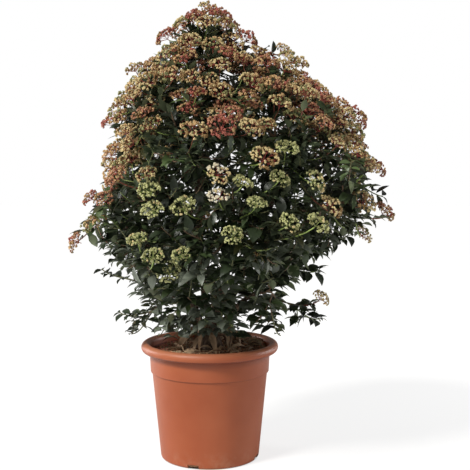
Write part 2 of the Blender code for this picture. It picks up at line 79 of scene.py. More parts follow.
class Wire:  # a node socket that takes part in Python sums
    def __init__(self, net, socket):
        self.net, self.socket = net, socket

    def sum(self, operation, first, second):
        return self.net.add("ShaderNodeMath", {0: first, 1: second}, operation=operation)

    def __add__(self, other):
        return self.sum("ADD", self, other)

    def __sub__(self, other):
        return self.sum("SUBTRACT", self, other)

    def __rsub__(self, other):
        return self.sum("SUBTRACT", other, self)

    def __mul__(self, other):
        return self.sum("MULTIPLY", self, other)

    __radd__ = __add__
    __rmul__ = __mul__


class Net:  # a node tree with one way of adding to it
    def __init__(self, tree):
        self.tree = tree

    def feed(self, node, name, value):
        if isinstance(value, Wire):
            self.tree.links.new(value.socket, node.inputs[name])
        else:
            node.inputs[name].default_value = value

    def add(self, kind, sockets=None, take=0, stops=None, **settings):
        node = self.tree.nodes.new(kind)
        for name, value in settings.items():
            setattr(node, name, value)
        if stops:
            ramp = node.color_ramp
            for spot, colour in stops[1:-1]:
                ramp.elements.new(spot)
            ramp.elements[0].position = stops[0][0]
            ramp.elements[-1].position = stops[-1][0]
            for element, (spot, colour) in zip(ramp.elements, stops):
                element.color = (*colour, 1)
        for name, value in (sockets or {}).items():
            self.feed(node, name, value)
        return Wire(self, node.outputs[take])


class Finish(Net):  # a material, with its shader at hand
    def __init__(self, name, **fixed):
        self.material = bpy.data.materials.new(name)
        self.material.use_nodes = True
        super().__init__(self.material.node_tree)
        self.shader = self.tree.nodes["Principled BSDF"]
        for socket, value in fixed.items():
            self.shader.inputs[socket.replace("_", " ")].default_value = value
        self.place = self.add("ShaderNodeTexCoord", take="Object")

    def noise(self, scale, detail=2, rough=0.5, place=None):
        sockets = {"Vector": place or self.place, "Scale": scale, "Detail": detail, "Roughness": rough}
        return self.add("ShaderNodeTexNoise", sockets)

    def stretched(self, scale):
        return self.add("ShaderNodeMapping", {"Vector": self.place, "Scale": scale})

    def ramp(self, value, *stops):
        return self.add("ShaderNodeValToRGB", {0: value}, stops=stops)

    def level(self, value, low, high):  # 0 to 1 as the value goes from low to high
        sockets = {"Value": value, "From Min": low, "From Max": high}
        return self.add("ShaderNodeMapRange", sockets, clamp=True)

    def mix(self, share, first, second, way="MIX"):
        sockets = {0: share, 6: self.colour(first), 7: self.colour(second)}
        return self.add("ShaderNodeMix", sockets, take=2, data_type="RGBA", blend_type=way)

    def colour(self, value):
        return value if isinstance(value, Wire) else (*value, 1)

    def finish(self, relief=None, depth=0.001, **fed):
        for socket, wire in fed.items():
            self.feed(self.shader, socket.replace("_", " "), wire)
        if relief is not None:
            sockets = {"Strength": 1.0, "Distance": depth, "Height": relief}
            self.feed(self.shader, "Normal", self.add("ShaderNodeBump", sockets))
        return self.material


def newPiece(name, mesh):
    piece = bpy.data.objects.new(name, mesh)
    bpy.context.scene.collection.objects.link(piece)
    return piece


def meshPiece(name, points, faces, *materials):
    mesh = bpy.data.meshes.new(name)
    mesh.from_pydata([tuple(p) for p in points], [], faces)
    for material in materials:
        mesh.materials.append(material)
    return newPiece(name, mesh)


def settle(piece):  # the evaluated mesh becomes the piece's own, and the modifiers go
    graph = bpy.context.evaluated_depsgraph_get()
    piece.data = bpy.data.meshes.new_from_object(piece.evaluated_get(graph))
    piece.modifiers.clear()
    return piece


def smooth(piece, angle=None):
    piece.data.polygons.foreach_set("use_smooth", [True] * len(piece.data.polygons))
    if angle is not None:
        piece.data.set_sharp_from_angle(angle=math.radians(angle))
    return piece


def outward(piece):
    work = bmesh.new()
    work.from_mesh(piece.data)
    bmesh.ops.remove_doubles(work, verts=work.verts, dist=1e-6)
    bmesh.ops.recalc_face_normals(work, faces=work.faces)
    work.to_mesh(piece.data)
    work.free()
    return piece


def flatWay(angle):
    return Vector((math.cos(angle), math.sin(angle), 0))


def around(draw, spread):  # a chance value to either side of 0
    return draw.uniform(-spread, spread)


def graded(rows, at):  # the value in its place between the rows
    return float(np.interp(at, *zip(*rows)))


triangles = {}  # of each piece that has its place


def place(piece, slotName, *nodes):
    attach(piece, "root")
    if nodes:
        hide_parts(*nodes)
    piece.data.calc_loop_triangles()
    triangles[piece.name] = len(piece.data.loop_triangles)
    print(" ", piece.name, triangles[piece.name], "triangles")


def makeCamera(scene):
    camera = bpy.data.objects.new("camera", bpy.data.cameras.new("camera"))
    camera.data.lens, camera.data.sensor_width = studio["lens"], studio["sensor"]
    camera.location = studio["cameraPlace"]
    camera.rotation_euler = (math.radians(90 - studio["cameraPitch"]), 0, 0)
    scene.collection.objects.link(camera)
    scene.camera = camera


def makeLights(scene):
    world = bpy.data.worlds.new("studio")
    world.use_nodes = True
    sky = Net(world.node_tree)
    seen = sky.add("ShaderNodeLightPath", take="Is Camera Ray")  # white behind, softer as light
    background = world.node_tree.nodes["Background"]
    background.inputs["Color"].default_value = (1, 1, 1, 1)
    sky.feed(background, "Strength", seen * (studio["backdrop"] - studio["daylight"]) + studio["daylight"])
    scene.world = world
    key = bpy.data.lights.new("key", "SUN")  # a far lamp, so the floor is even
    key.angle = math.radians(studio["keySoft"])
    key.energy, key.color = studio["keyPower"], studio["keyColour"]
    lights = [(key, studio["keyFrom"])]
    for name, (spot, size, power) in studio["lamps"].items():
        lamp = bpy.data.lights.new(name, "AREA")
        lamp.shape, lamp.size, lamp.energy = "DISK", size, power
        lights.append((lamp, spot))
    for lamp, spot in lights:
        light = bpy.data.objects.new(lamp.name, lamp)
        light.location = spot
        light.rotation_euler = (Vector(studio["aim"]) - light.location).to_track_quat("-Z", "Y").to_euler()
        scene.collection.objects.link(light)


def makeFloor():
    reach = studio["floorReach"]
    corners = [(-reach, -reach, 0), (reach, -reach, 0), (reach, reach, 0), (-reach, reach, 0)]
    paper = Finish("pale paper", Roughness=studio["floorRough"], Emission_Strength=1.0)
    darker = [v * studio["floorShade"] for v in studio["floorColour"]]
    tone = paper.mix(paper.noise(studio["floorScale"]), studio["floorColour"], darker)
    seen = paper.add("ShaderNodeLightPath", take="Is Camera Ray")  # white to the camera only
    away = paper.add("ShaderNodeVectorMath", {0: paper.place}, take="Value", operation="LENGTH")
    # painted shadow: the camera-only glow is left out under the pot
    clear = paper.level(away, *studio["paintedShadowUnderPot"])
    glow = paper.mix(seen * clear, (0, 0, 0), [studio["floorGlow"]] * 3)
    tone = paper.mix(seen * (1 - studio["floorSeen"]), tone, (0, 0, 0))
    meshPiece("floor", corners, [(0, 1, 2, 3)], paper.finish(Base_Color=tone, Emission_Color=glow))


bpy.context.scene.view_settings.view_transform = "Standard"
makeCamera(bpy.context.scene)
makeLights(bpy.context.scene)
makeFloor()
print("studio ready")


# Pot: a lathe from its profile, then the drain slots
pot = dict(
    height=0.357, lipRadius=0.210, rollRadius=0.0146, rollSteps=26, collarTop=0.1845, collarFoot=0.1815,
    collarHeight=0.267, collarRound=0.0022, collarLift=0.0026, step=0.0045, crease=(0.0004, 0.0012),
    footRadius=0.1515, footRound=0.009, wall=0.0035, floor=0.006, turns=176,
    slots=4, firstSlot=-108, slotWidth=0.035, slotHeight=0.013, slotBelow=0.01,
    slotInner=0.126, slotOuter=0.17,
    colour=(0.342, 0.074, 0.022), warm=(0.405, 0.103, 0.036), dust=(0.48, 0.27, 0.17),
    cloudScale=5.5, flowScale=22, grainScale=760, splashScale=38, splashed=(0.004, 0.060),
    paintedShade=(  # painted shade in bands round the pot: the heights where each comes and goes, its strength and colour
        ((0.2635, 0.2662), (0.2668, 0.2690), 0.45, (0.1539, 0.0333, 0.0099)),  # painted shade in the crease below the collar
        ((0.306, 0.331), (0.331, 0.334), 0.76, (0.110, 0.014, 0.004)),  # painted shade under the rolled lip
    ),
    paintedLipHighlight=(0.341, 0.355),  # painted highlight along the lip's top, in the dust colour
    shares=dict(flow=0.22, grain=0.10, splash=0.34, paintedLipHighlight=0.28), darker=0.72,
    rough=dict(plain=0.35, clouds=0.07, grain=0.06, splash=0.25), relief=0.0007,
)


def arc(centre, radius, start, end, steps):  # points of a profile's round, angles in degrees
    for i in range(steps + 1):
        angle = math.radians(start + (end - start) * i / steps)
        yield centre[0] + radius * math.cos(angle), centre[1] + radius * math.sin(angle)


def potProfile():
    p = pot
    bodyTop = p["collarFoot"] - p["step"]
    roll = (p["lipRadius"] - p["rollRadius"], p["height"] - p["rollRadius"])
    start = -math.degrees(math.acos((p["collarTop"] - roll[0]) / p["rollRadius"]))
    line = [(0, 0)]
    line += arc((p["footRadius"] - p["footRound"], p["footRound"]), p["footRound"], -90, -4, 7)
    inset, drop = p["crease"]
    line += [(bodyTop - inset, p["collarHeight"] - drop), (bodyTop, p["collarHeight"])]
    middle = (p["collarFoot"] - p["collarRound"], p["collarHeight"] + p["collarLift"])
    line += arc(middle, p["collarRound"], -80, 0, 4)
    line += arc(roll, p["rollRadius"], start, 180, p["rollSteps"])
    inner = p["footRadius"] - p["wall"]
    line += [(p["collarFoot"] - p["wall"], p["collarHeight"] + p["step"])]
    line += [(bodyTop - p["wall"], p["collarHeight"]), (inner, p["floor"]), (0, p["floor"])]
    return line


def makePlastic():
    made = Finish("terracotta plastic", IOR=1.46, Specular_IOR_Level=0.52)
    shares, rough = pot["shares"], pot["rough"]
    clouds, grain = made.noise(pot["cloudScale"], 3), made.noise(pot["grainScale"], 2)
    flow = made.noise(pot["flowScale"], 3, place=made.stretched((1, 1, 0.16)))  # left by the mould
    base = made.mix(made.level(clouds, 0.35, 0.68), pot["colour"], pot["warm"])
    base = made.mix(made.level(flow, 0.45, 0.85) * shares["flow"], base, pot["warm"])
    darker = [v * pot["darker"] for v in pot["colour"]]
    base = made.mix(made.level(grain, 0.40, 0.75) * shares["grain"], base, darker)
    height = made.add("ShaderNodeSeparateXYZ", {0: made.place}, take="Z")
    drops = made.level(made.noise(pot["splashScale"], 4, 0.62), 0.47, 0.66)
    splash = drops * (1 - made.level(height, *pot["splashed"]))
    base = made.mix(splash * shares["splash"], base, pot["dust"])
    # painted shade: darker bands in the crease below the collar and under the rolled lip
    for rise, fall, strength, colour in pot["paintedShade"]:
        band = made.level(height, *rise) * (1 - made.level(height, *fall))
        base = made.mix(band * strength, base, colour)
    # painted highlight: the top of the lip made paler in the dust colour
    base = made.mix(made.level(height, *pot["paintedLipHighlight"]) * shares["paintedLipHighlight"], base, pot["dust"])
    roughness = rough["plain"] + clouds * rough["clouds"] + grain * rough["grain"] + splash * rough["splash"]
    relief = grain * 0.5 + flow * 0.9 + clouds
    return made.finish(relief=relief, depth=pot["relief"], Base_Color=base, Roughness=roughness)


def slotCutter(turn):
    out, inner, outer = flatWay(turn), pot["slotInner"], pot["slotOuter"]
    corners = []
    for height in (-pot["slotBelow"], pot["slotHeight"]):
        for radius, side in ((inner, -1), (outer, -1), (outer, 1), (inner, 1)):
            corners.append(out * radius + up.cross(out) * side * pot["slotWidth"] / 2 + up * height)
    faces = [(3, 2, 1, 0), (4, 5, 6, 7)] + [(i, (i + 1) % 4, (i + 1) % 4 + 4, i + 4) for i in range(4)]
    return meshPiece("slotCutter", corners, faces)


def makePot():
    line = potProfile()
    mesh = bpy.data.meshes.new("potShell")
    edges = [(i, i + 1) for i in range(len(line) - 1)]
    mesh.from_pydata([(radius, 0, height) for radius, height in line], edges, [])
    piece = newPiece("potShell", mesh)
    lathe = piece.modifiers.new("lathe", "SCREW")
    lathe.steps = lathe.render_steps = pot["turns"]
    lathe.use_merge_vertices, lathe.merge_threshold = True, 1e-6
    outward(settle(piece))
    for slot in range(pot["slots"]):
        cutter = slotCutter(math.radians(pot["firstSlot"] + 360 * slot / pot["slots"]))
        cut = piece.modifiers.new("slot", "BOOLEAN")
        cut.operation, cut.solver, cut.object = "DIFFERENCE", "EXACT", cutter
        settle(piece)
        bpy.data.objects.remove(cutter)
    piece.data.materials.clear()
    piece.data.materials.append(makePlastic())
    place(smooth(piece, 38), "pot_plastic", "pot")


makePot()
print("pot ready")


# The rule of growth: the crown's lobes, their boughs, and the way a shoot finds the next tip.
# Left, right and depth are a tier's reach from the pot's axis, rise the angle a bough comes in at,
# tips the main shoots of each mass and leader how far its first one goes.
crown = dict(
    tierParts="name lobes turn height slope lobe left right depth rise tips leader".split(),
    tiers=(
        ("top", 1, 0, 1.247, 0, 0.126, 0.146, 0.106, 0.126, 86, 8, 1.0),
        ("crest", 4, 0, 1.120, 0.026, 0.128, 0.275, 0.312, 0.280, 68, 7, 1.02),
        ("shoulder", 6, 0, 0.965, 0.045, 0.146, 0.330, 0.478, 0.405, 54, 7, 1.10),
        ("waist", 6, 30, 0.748, 0.050, 0.154, 0.420, 0.570, 0.450, 34, 8, 1.25),
        ("skirt", 5, 36, 0.522, 0, 0.130, 0.305, 0.380, 0.345, 10, 6, 1.12),
    ),
    lobeShift=0.012, lobeOver=1.02,
    soilTop=0.338, trunkHeight=0.085, flareRadius=0.040, forkRadius=0.024, lean=(0.010, 0.004, 0),
    flareLobes=4, flareDepth=0.16, buds=14, budsFrom=0.35, budsSpan=0.55, budDepth=0.45, budWay=(0.6, 0.8),
    gap=0.0003, floor=0.379, margin=0.0015,
    boughLeader=0.0095, boughTip=0.0042, boughShare=0.74, boughFoot=1.25, clearance=0.004,
    boughSegment=0.075, boughRings=0.009, boughSteps=3, fineSteps=8, boughChecks=60,
    bows=(0.36, 0.22, 0.50), straightOn=0.45, beads=0.006, heart=0.52, ownHeart=0.017,
    trunkPull=0.80, leastClimb=0.35, climbCost=6, turnCost=1.1, stubCost=0.10,
    candidates=120, tipTurn=0.15, tipSpread=(0.88, 1.04), tipBack=-0.45, tipRoom=0.022, leaderRoom=0.015,
    twigFoot=0.0027, twigTip=0.0019, fineFoot=0.0017, fineTip=0.0011, shownTip=0.0016,
    headHeight=0.020, leastShoot=0.036, leastShown=0.085, ringSpacing=0.012, mainLift=0.25,
    fineTips=22, fillTips=900, fillTries=30000, fillRoom=0.036, innerRoom=1.6, fullDepth=0.42,
    lowTo=0.47, lowFill=0.60,  # up to this height at least this share of the tries counts
    inwards=(0.85, 0.5),  # how far in the shoots end, up to that height and above it
    swell=(0.98, 0.20, 7),  # the crown's gentle lumps: level, depth and scale
    outerFrom=0.70, topFrom=1.18,  # past this share of the reach or above this height a shoot is an outer one
    thinBelow=((-0.26, 0.76), (-0.18, 0.60), (0.22, 0.60), (0.30, 0.98)),  # sky shows up to here
    thinShare=0.30, thinFrom=0.66,
    shownFrom=0.72,  # the free shoots leave their limb within this share of their reach
    lift=((0.42, 0.70), (0.65, 0.45), (0.85, 0.40), (1.05, 0.55)),  # how a shoot's end turns up, by height
    outline=(  # height, and how far the tips there reach to the left, the right, and front and back
        (0.382, 0.160, 0.150, 0.140), (0.430, 0.175, 0.205, 0.180), (0.470, 0.200, 0.215, 0.220),
        (0.530, 0.225, 0.190, 0.270), (0.570, 0.245, 0.240, 0.310), (0.610, 0.298, 0.315, 0.350),
        (0.650, 0.305, 0.375, 0.385), (0.700, 0.325, 0.420, 0.410), (0.760, 0.325, 0.500, 0.420),
        (0.830, 0.315, 0.480, 0.415), (0.900, 0.270, 0.520, 0.400), (0.970, 0.250, 0.430, 0.370),
        (1.030, 0.260, 0.410, 0.330), (1.090, 0.245, 0.350, 0.285), (1.150, 0.212, 0.275, 0.235),
        (1.200, 0.175, 0.180, 0.185), (1.250, 0.110, 0.080, 0.130), (1.300, 0.080, 0.065, 0.080),
        (1.335, 0.045, 0.035, 0.040), (1.352, 0.015, 0.020, 0.020),
    ),
    shown=(  # shoots that stand free of the crown or carry a head in front: place, and kind of head
        (-0.006, 0, 1.376, "cream"), (-0.036, -0.030, 1.342, "rose"), (0.032, -0.020, 1.344, "rose"),
        (-0.066, -0.010, 1.322, "cream"), (-0.004, -0.070, 1.318, "cream"), (-0.118, -0.020, 1.286, "rose"),
        (0.012, -0.050, 1.352, "rose"), (-0.036, 0.040, 1.350, "salmon"), (0.056, 0.010, 1.322, "salmon"),
        (0.104, -0.030, 1.276, "rose"), (0.262, 0, 1.208, "cream"), (0.232, -0.040, 1.216, "cream"),
        (-0.216, -0.020, 1.192, "khaki"), (-0.172, -0.020, 1.186, "cream"), (0.216, 0, 1.250, "cream"),
        (0.332, -0.050, 1.120, "cream"), (0.433, 0, 1.050, "rose"), (0.430, -0.050, 0.960, "salmon"),
        (0.498, 0, 0.896, "rose"), (0.530, 0.020, 0.800, ""), (0.545, -0.020, 0.765, "salmon"),
        (0.455, -0.030, 0.700, "cream"), (0.335, -0.020, 0.580, ""), (0.330, -0.050, 0.510, "cream"),
        (-0.282, -0.050, 1.030, "rose"), (-0.276, -0.050, 0.942, "salmon"), (-0.352, 0, 0.810, "rose"),
        (-0.410, 0, 0.680, "salmon"), (0.030, -0.395, 0.890, "white"), (0.034, -0.405, 0.830, "white"),
        (0.094, -0.395, 0.864, "lime"), (0.070, -0.420, 0.732, "lime"), (-0.055, -0.405, 0.803, "lime"),
        (-0.138, -0.395, 0.795, "lime"), (-0.060, -0.415, 0.680, "lime"), (-0.138, -0.395, 0.672, "lime"),
        (-0.180, -0.375, 0.714, "lime"), (0.217, -0.375, 0.761, "lime"), (0.291, -0.335, 0.753, "lime"),
        (0.132, -0.405, 0.813, "lime"), (0.288, -0.295, 0.871, "lime"), (0.192, -0.355, 0.876, "lime"),
        (-0.146, -0.375, 0.845, "lime"), (0.332, -0.275, 0.796, "cream"), (0.150, -0.365, 0.928, "cream"),
        (-0.154, -0.365, 0.885, "khaki"), (-0.237, -0.315, 0.876, "salmon"), (-0.330, 0, 0.580, ""),
        (-0.276, -0.020, 0.450, ""), (-0.245, 0.040, 0.412, ""), (-0.235, -0.060, 0.390, ""),
        (0.335, -0.020, 0.430, ""), (0.265, 0.030, 0.405, ""), (0.215, -0.060, 0.385, ""),
    ),
)


def lobeWalls(lobe, others):  # the planes round a lobe's own space, a larger lobe taking more
    normals, offsets = [-up], [-crown["floor"]]
    for other in others:
        line = other["middle"] - lobe["middle"]
        share = 0.5 + (lobe["radius"] ** 2 - other["radius"] ** 2) / (2 * line.length_squared)
        normals.append(line.normalized())
        offsets.append(line.normalized().dot(lobe["middle"] + line * share))
    return np.array(normals), np.array(offsets)


def crownLobes():
    lobes = []
    for row in crown["tiers"]:
        tier = dict(zip(crown["tierParts"], row))
        for index in range(tier["lobes"]):
            name = tier["name"] if tier["lobes"] == 1 else f"{tier['name']}_{index + 1}"
            draw = random.Random("lobe " + name)
            turn = math.radians(tier["turn"] + 360 * index / tier["lobes"])
            centre = Vector(((tier["right"] - tier["left"]) / 2, 0, tier["height"]))
            wide, deep = (tier["right"] + tier["left"]) / 2 - tier["lobe"], tier["depth"] - tier["lobe"]
            out = Vector((math.cos(turn) * wide, -math.sin(turn) * deep, 0))
            lift = tier["slope"] * math.cos(turn) + around(draw, crown["lobeShift"])
            rise = math.radians(tier["rise"])
            entry = (out.normalized() * math.cos(rise) + up * math.sin(rise)).normalized()
            middle = centre + out + up * lift
            lobes.append(dict(name=name, tier=tier, radius=tier["lobe"], middle=middle, entry=entry))
    for lobe in lobes:
        lobe["walls"] = lobeWalls(lobe, [other for other in lobes if other is not lobe])
    return lobes


def keepsSpace(lobe, point, margin=crown["margin"]):
    normals, offsets = lobe["walls"]
    return bool((np.array(point) @ normals.T < offsets - margin).all())


def curveBetween(start, startWay, end, endWay, steps, bow=crown["bows"][0]):
    reach = (end - start).length * bow
    leave, arrive = start + startWay * reach, end - endWay * reach
    points = []
    for step in range(steps + 1):
        t = step / steps
        u = 1 - t
        points.append(start * u**3 + leave * (3 * t * u * u) + arrive * (3 * t * t * u) + end * t**3)
    return points


def shoot(start, startWay, end, endWay, steps, startRadius, endRadius, bow=crown["bows"][0]):
    line = curveBetween(start, startWay, end, endWay, steps, bow)
    inner = [(line[i + 1] - line[i - 1]).normalized() for i in range(1, steps)]
    radii = [startRadius + (endRadius - startRadius) * i / steps for i in range(steps + 1)]
    return dict(line=line, ways=[startWay, *inner, endWay], radii=radii)


def jointCost(joint, target):
    line = target - joint["place"]
    return line.length * (1 + crown["turnCost"] * (1 - joint["way"].dot(line.normalized()))) * joint["pull"]


def leaveWay(here, way, target):
    return (way * crown["straightOn"] + (target - here).normalized()).normalized()


def trunkPoint(share):
    height = crown["soilTop"] + crown["gap"] + crown["trunkHeight"] * share
    return up * height + Vector(crown["lean"]) * share * share


def trunkRadius(share):
    return crown["forkRadius"] + (crown["flareRadius"] - crown["forkRadius"]) * (1 - share) ** 2.2


def inTrunk(point):
    share = max(0, (point.z - crown["soilTop"]) / crown["trunkHeight"])
    away = point - trunkPoint(min(share, 1))
    return share < 1 and math.hypot(away.x, away.y) < trunkRadius(share)


def beadsOf(limb):
    rows = []
    for here, after, radius in zip(limb["line"], limb["line"][1:], limb["radii"]):
        count = math.ceil((after - here).length / crown["beads"])
        for step in range(count + 1):
            bead = here.lerp(after, step / count)
            if not inTrunk(bead):
                rows.append((*bead, radius))
    return np.array(rows)


def clearOf(points, room, beads):
    if len(beads) == 0 or len(points) == 0:
        return True
    lines = np.array(points)[:, None, :] - beads[None, :, :3]
    return bool((np.linalg.norm(lines, axis=2) - beads[None, :, 3]).min() > room)


def trunkJoints():
    joints = []
    for bud in range(crown["buds"]):
        share = crown["budsFrom"] + crown["budsSpan"] * bud / (crown["buds"] - 1)
        out, (aside, rise) = flatWay(bud * goldenTurn), crown["budWay"]
        here = trunkPoint(share) + out * trunkRadius(share) * crown["budDepth"]
        way = (out * aside + up * rise).normalized()
        radius, pull = crown["boughLeader"], crown["trunkPull"]
        joints.append(dict(place=here, way=way, radius=radius, limb=None, pull=pull))
    return joints


def inTheWay(joint, limbs, lobe, lobes):
    hearts = []
    for other in lobes:
        given = crown["ownHeart"] if other is lobe else 0
        hearts.append((*other["middle"], other["radius"] * crown["heart"] - given))
    found = [np.array(hearts)]
    for limb in limbs:
        beads = limb["beads"]
        if limb is joint["limb"]:
            away = np.linalg.norm(beads[:, :3] - np.array(joint["place"]), axis=1)
            beads = beads[away > limb["radii"][0] * 4 + 0.02]
        found.append(beads)
    return np.concatenate(found)


def boughCost(joint, bow, foot):
    line = foot - joint["place"]
    steep = max(0, crown["leastClimb"] - line.z / line.length)
    return jointCost(joint, foot) * (1 + abs(bow - crown["bows"][0])) * (1 + crown["climbCost"] * steep)


def planBoughs(lobes):
    joints, limbs = trunkJoints(), []
    for lobe in lobes:
        foot = lobe["middle"] - lobe["entry"] * lobe["radius"] * crown["heart"]
        choices = [(joint, bow) for bow in crown["bows"] for joint in joints]
        choices.sort(key=lambda choice: boughCost(*choice, foot))
        for joint, bow in choices:
            start = max(joint["radius"], crown["boughTip"] * crown["boughFoot"])
            course = (joint["place"], leaveWay(joint["place"], joint["way"], foot), foot, lobe["entry"])
            line = curveBetween(*course, crown["boughChecks"], bow)
            outside = [point for point in line if not inTrunk(point)]
            if clearOf(outside, start + crown["clearance"], inTheWay(joint, limbs, lobe, lobes)):
                break
        joints.remove(joint)
        length, end = (foot - joint["place"]).length, crown["boughTip"]
        steps = max(crown["boughSteps"], round(length / crown["boughSegment"]))
        fineSteps = max(crown["fineSteps"], round(length / crown["boughRings"]))
        limb = shoot(*course, steps, start, end, bow)
        limb["fine"] = shoot(*course, fineSteps, start, end, bow)
        limb["beads"] = beadsOf(limb)
        limbs.append(limb)
        for here, way, radius in list(zip(limb["line"], limb["ways"], limb["radii"]))[1:-1]:
            joints.append(dict(place=here, way=way, radius=radius * crown["boughShare"], limb=limb, pull=1))
    return limbs


def lobeTips(lobe):  # the source's tips in its order, spread over the lobe from the first few on
    draw = random.Random("tips " + lobe["name"])
    reach = lobe["radius"] - crown["headHeight"]
    found = []
    for index in range(crown["candidates"]):
        height = 1 - 2 * (index + 0.5) / crown["candidates"]
        turn = index * goldenTurn + around(draw, crown["tipTurn"])
        flat = math.sqrt(1 - height * height)
        way = Vector((flat * math.cos(turn), flat * math.sin(turn), height))
        tip = lobe["middle"] + way * reach * draw.uniform(*crown["tipSpread"])
        if way.dot(lobe["entry"]) > crown["tipBack"] and keepsSpace(lobe, tip, crown["tipRoom"]):
            found.append(tip)
    forward = reach * lobe["tier"]["leader"]
    while not keepsSpace(lobe, lobe["middle"] + lobe["entry"] * forward, crown["leaderRoom"]):
        forward *= 0.95
    ordered = [lobe["middle"] + lobe["entry"] * forward]
    while found:
        best = max(found, key=lambda tip: min((tip - done).length for done in ordered))
        ordered.append(best)
        found.remove(best)
    return ordered


def reachAt(height):  # the outline's reach to the left, the right, and front and back
    rows = np.array(crown["outline"])
    return [float(np.interp(height, rows[:, 0], rows[:, i])) for i in (1, 2, 3)]


def outlinePoint(height, turn, share):
    left, right, depth = reachAt(height)
    wide = right if math.cos(turn) > 0 else left
    return Vector((math.cos(turn) * wide * share, -math.sin(turn) * depth * share, height))


def outness(point):  # 0 on the crown's axis, 1 at its outside
    left, right, depth = reachAt(point.z)
    return math.hypot(point.x / (right if point.x > 0 else left), point.y / depth)


def airy(tip, share):  # where sky shows between the outer shoots
    return share > crown["thinFrom"] and tip.z < graded(crown["thinBelow"], tip.x)


def fillTips(taken):  # tips for the room that the lobes leave, close together near the outside
    draw = random.Random("fill")
    rows, (level, depth, scale) = crown["outline"], crown["swell"]
    tips = np.zeros((len(taken) + crown["fillTips"], 3))
    tips[:len(taken)] = [tuple(tip) for tip in taken]
    count = len(taken)
    for _ in range(crown["fillTries"]):
        height, turn = draw.uniform(rows[0][0], rows[-1][0]), draw.uniform(0, math.tau)
        low, lowDepth, fullDepth = height < crown["lowTo"], *crown["inwards"]
        inside = lowDepth * draw.random() if low else fullDepth * draw.random() ** 2
        tip = outlinePoint(height, turn, 1 - inside)
        swell = level + depth * noise.noise(tip * scale)
        tip.x, tip.y = tip.x * swell, tip.y * swell
        share = max(reachAt(height)[2] / crown["fullDepth"], crown["lowFill"] if low else 0)
        if draw.random() > share * (crown["thinShare"] if airy(tip, 1 - inside) else 1):
            continue
        nearest = np.linalg.norm(tips[:count] - np.array(tip), axis=1).min()
        if nearest > crown["fillRoom"] * (1 + inside * crown["innerRoom"]):
            tips[count] = tip
            count += 1
            if count == len(tips):
                break
    return sorted((Vector(tip) for tip in tips[len(taken):count]), key=outness)


class Joints:  # the places along limbs and shoots where another may leave
    def __init__(self, room=40000):
        self.places, self.ways, self.count = np.zeros((room, 3)), np.zeros((room, 3)), 0

    def add(self, line, ways):
        after = self.count + len(line)
        self.places[self.count:after] = [tuple(point) for point in line]
        self.ways[self.count:after] = [tuple(way) for way in ways]
        self.count = after

    def cheapest(self, tip, least, within):
        lines = np.array(tip) - self.places[:self.count]
        lengths = np.linalg.norm(lines, axis=1) + 1e-6
        bends = 1 - (self.ways[:self.count] * lines).sum(1) / lengths
        awkward = (lengths < least) | (np.linalg.norm(self.places[:self.count, :2], axis=1) > within)
        costs = lengths * (1 + crown["turnCost"] * bends) + awkward * crown["stubCost"]
        best = int(costs.argmin())
        return Vector(self.places[best]), Vector(self.ways[best])


def growShoot(joints, tip, kind, foot, end, lift=crown["mainLift"], least=0.0, start=None):
    within = tip.xy.length * crown["shownFrom"] if kind == "shown" else math.inf
    here, way = start or joints.cheapest(tip, least, within)
    leave = way if start else leaveWay(here, way, tip)
    endWay = ((tip - here).normalized() + up * lift).normalized()
    steps = max(4, round((tip - here).length / crown["ringSpacing"]))
    grown = shoot(here, leave, tip, endWay, steps, foot, end)
    grown.update(kind=kind, tip=tip, endWay=endWay, out=Vector((tip.x, tip.y, 0)).normalized(), head="")
    joints.add(grown["line"][2:-1], grown["ways"][2:-1])
    return grown


def growCrown(lobes, limbs):
    # the source's shoots in each lobe, then the free ones, then finer ones over the lobes and between them
    shoots, joints, finer, draw = [], Joints(), [], random.Random("finer")
    for lobe, limb in zip(lobes, limbs):
        own, tips = Joints(2000), lobeTips(lobe)
        start = (limb["line"][-1] + limb["ways"][-1] * crown["gap"], limb["ways"][-1])
        foot = crown["boughTip"]
        for tip in tips[:lobe["tier"]["tips"]]:
            beyond = max(1, outness(tip))
            tip.x, tip.y = tip.x / beyond, tip.y / beyond
            grown = growShoot(own, tip, "main", foot, crown["twigTip"], start=start)
            joints.add(grown["line"][2:-1], grown["ways"][2:-1])
            shoots.append(grown)
            start, foot = None, crown["twigFoot"]
        for tip in tips[lobe["tier"]["tips"]:crown["fineTips"]]:
            share = outness(tip)
            if share < crown["lobeOver"] and (draw.random() < crown["thinShare"] or not airy(tip, share)):
                finer.append(tip)
        outside = [pair for pair in zip(limb["fine"]["line"], limb["fine"]["ways"]) if not inTrunk(pair[0])]
        joints.add(*zip(*outside[4:]))
    wanted = []
    for *spot, head in crown["shown"]:
        wanted.append((Vector(spot) - up * (crown["headHeight"] if head else 0), head))
    taken = [one["tip"] for one in shoots] + [tip for tip, _ in wanted] + finer
    wanted += [(tip, None) for tip in finer + fillTips(taken)]
    for tip, head in wanted:
        outer = outness(tip) > crown["outerFrom"] or tip.z > crown["topFrom"]
        kind = "shown" if head is not None else "outer" if outer else "inner"
        sizes = ("twigFoot", "shownTip", "leastShown")
        if head is None:
            sizes = ("fineFoot", "fineTip", "leastShoot")
        foot, end, least = (crown[name] for name in sizes)
        grown = growShoot(joints, tip, kind, foot, end, graded(crown["lift"], tip.z), least)
        grown["head"] = head or ""
        shoots.append(grown)
    return shoots


lobes = crownLobes()
limbs = planBoughs(lobes)
shoots = growCrown(lobes, limbs)
print("growth planned:", len(shoots), "shoots on", len(limbs), "boughs")


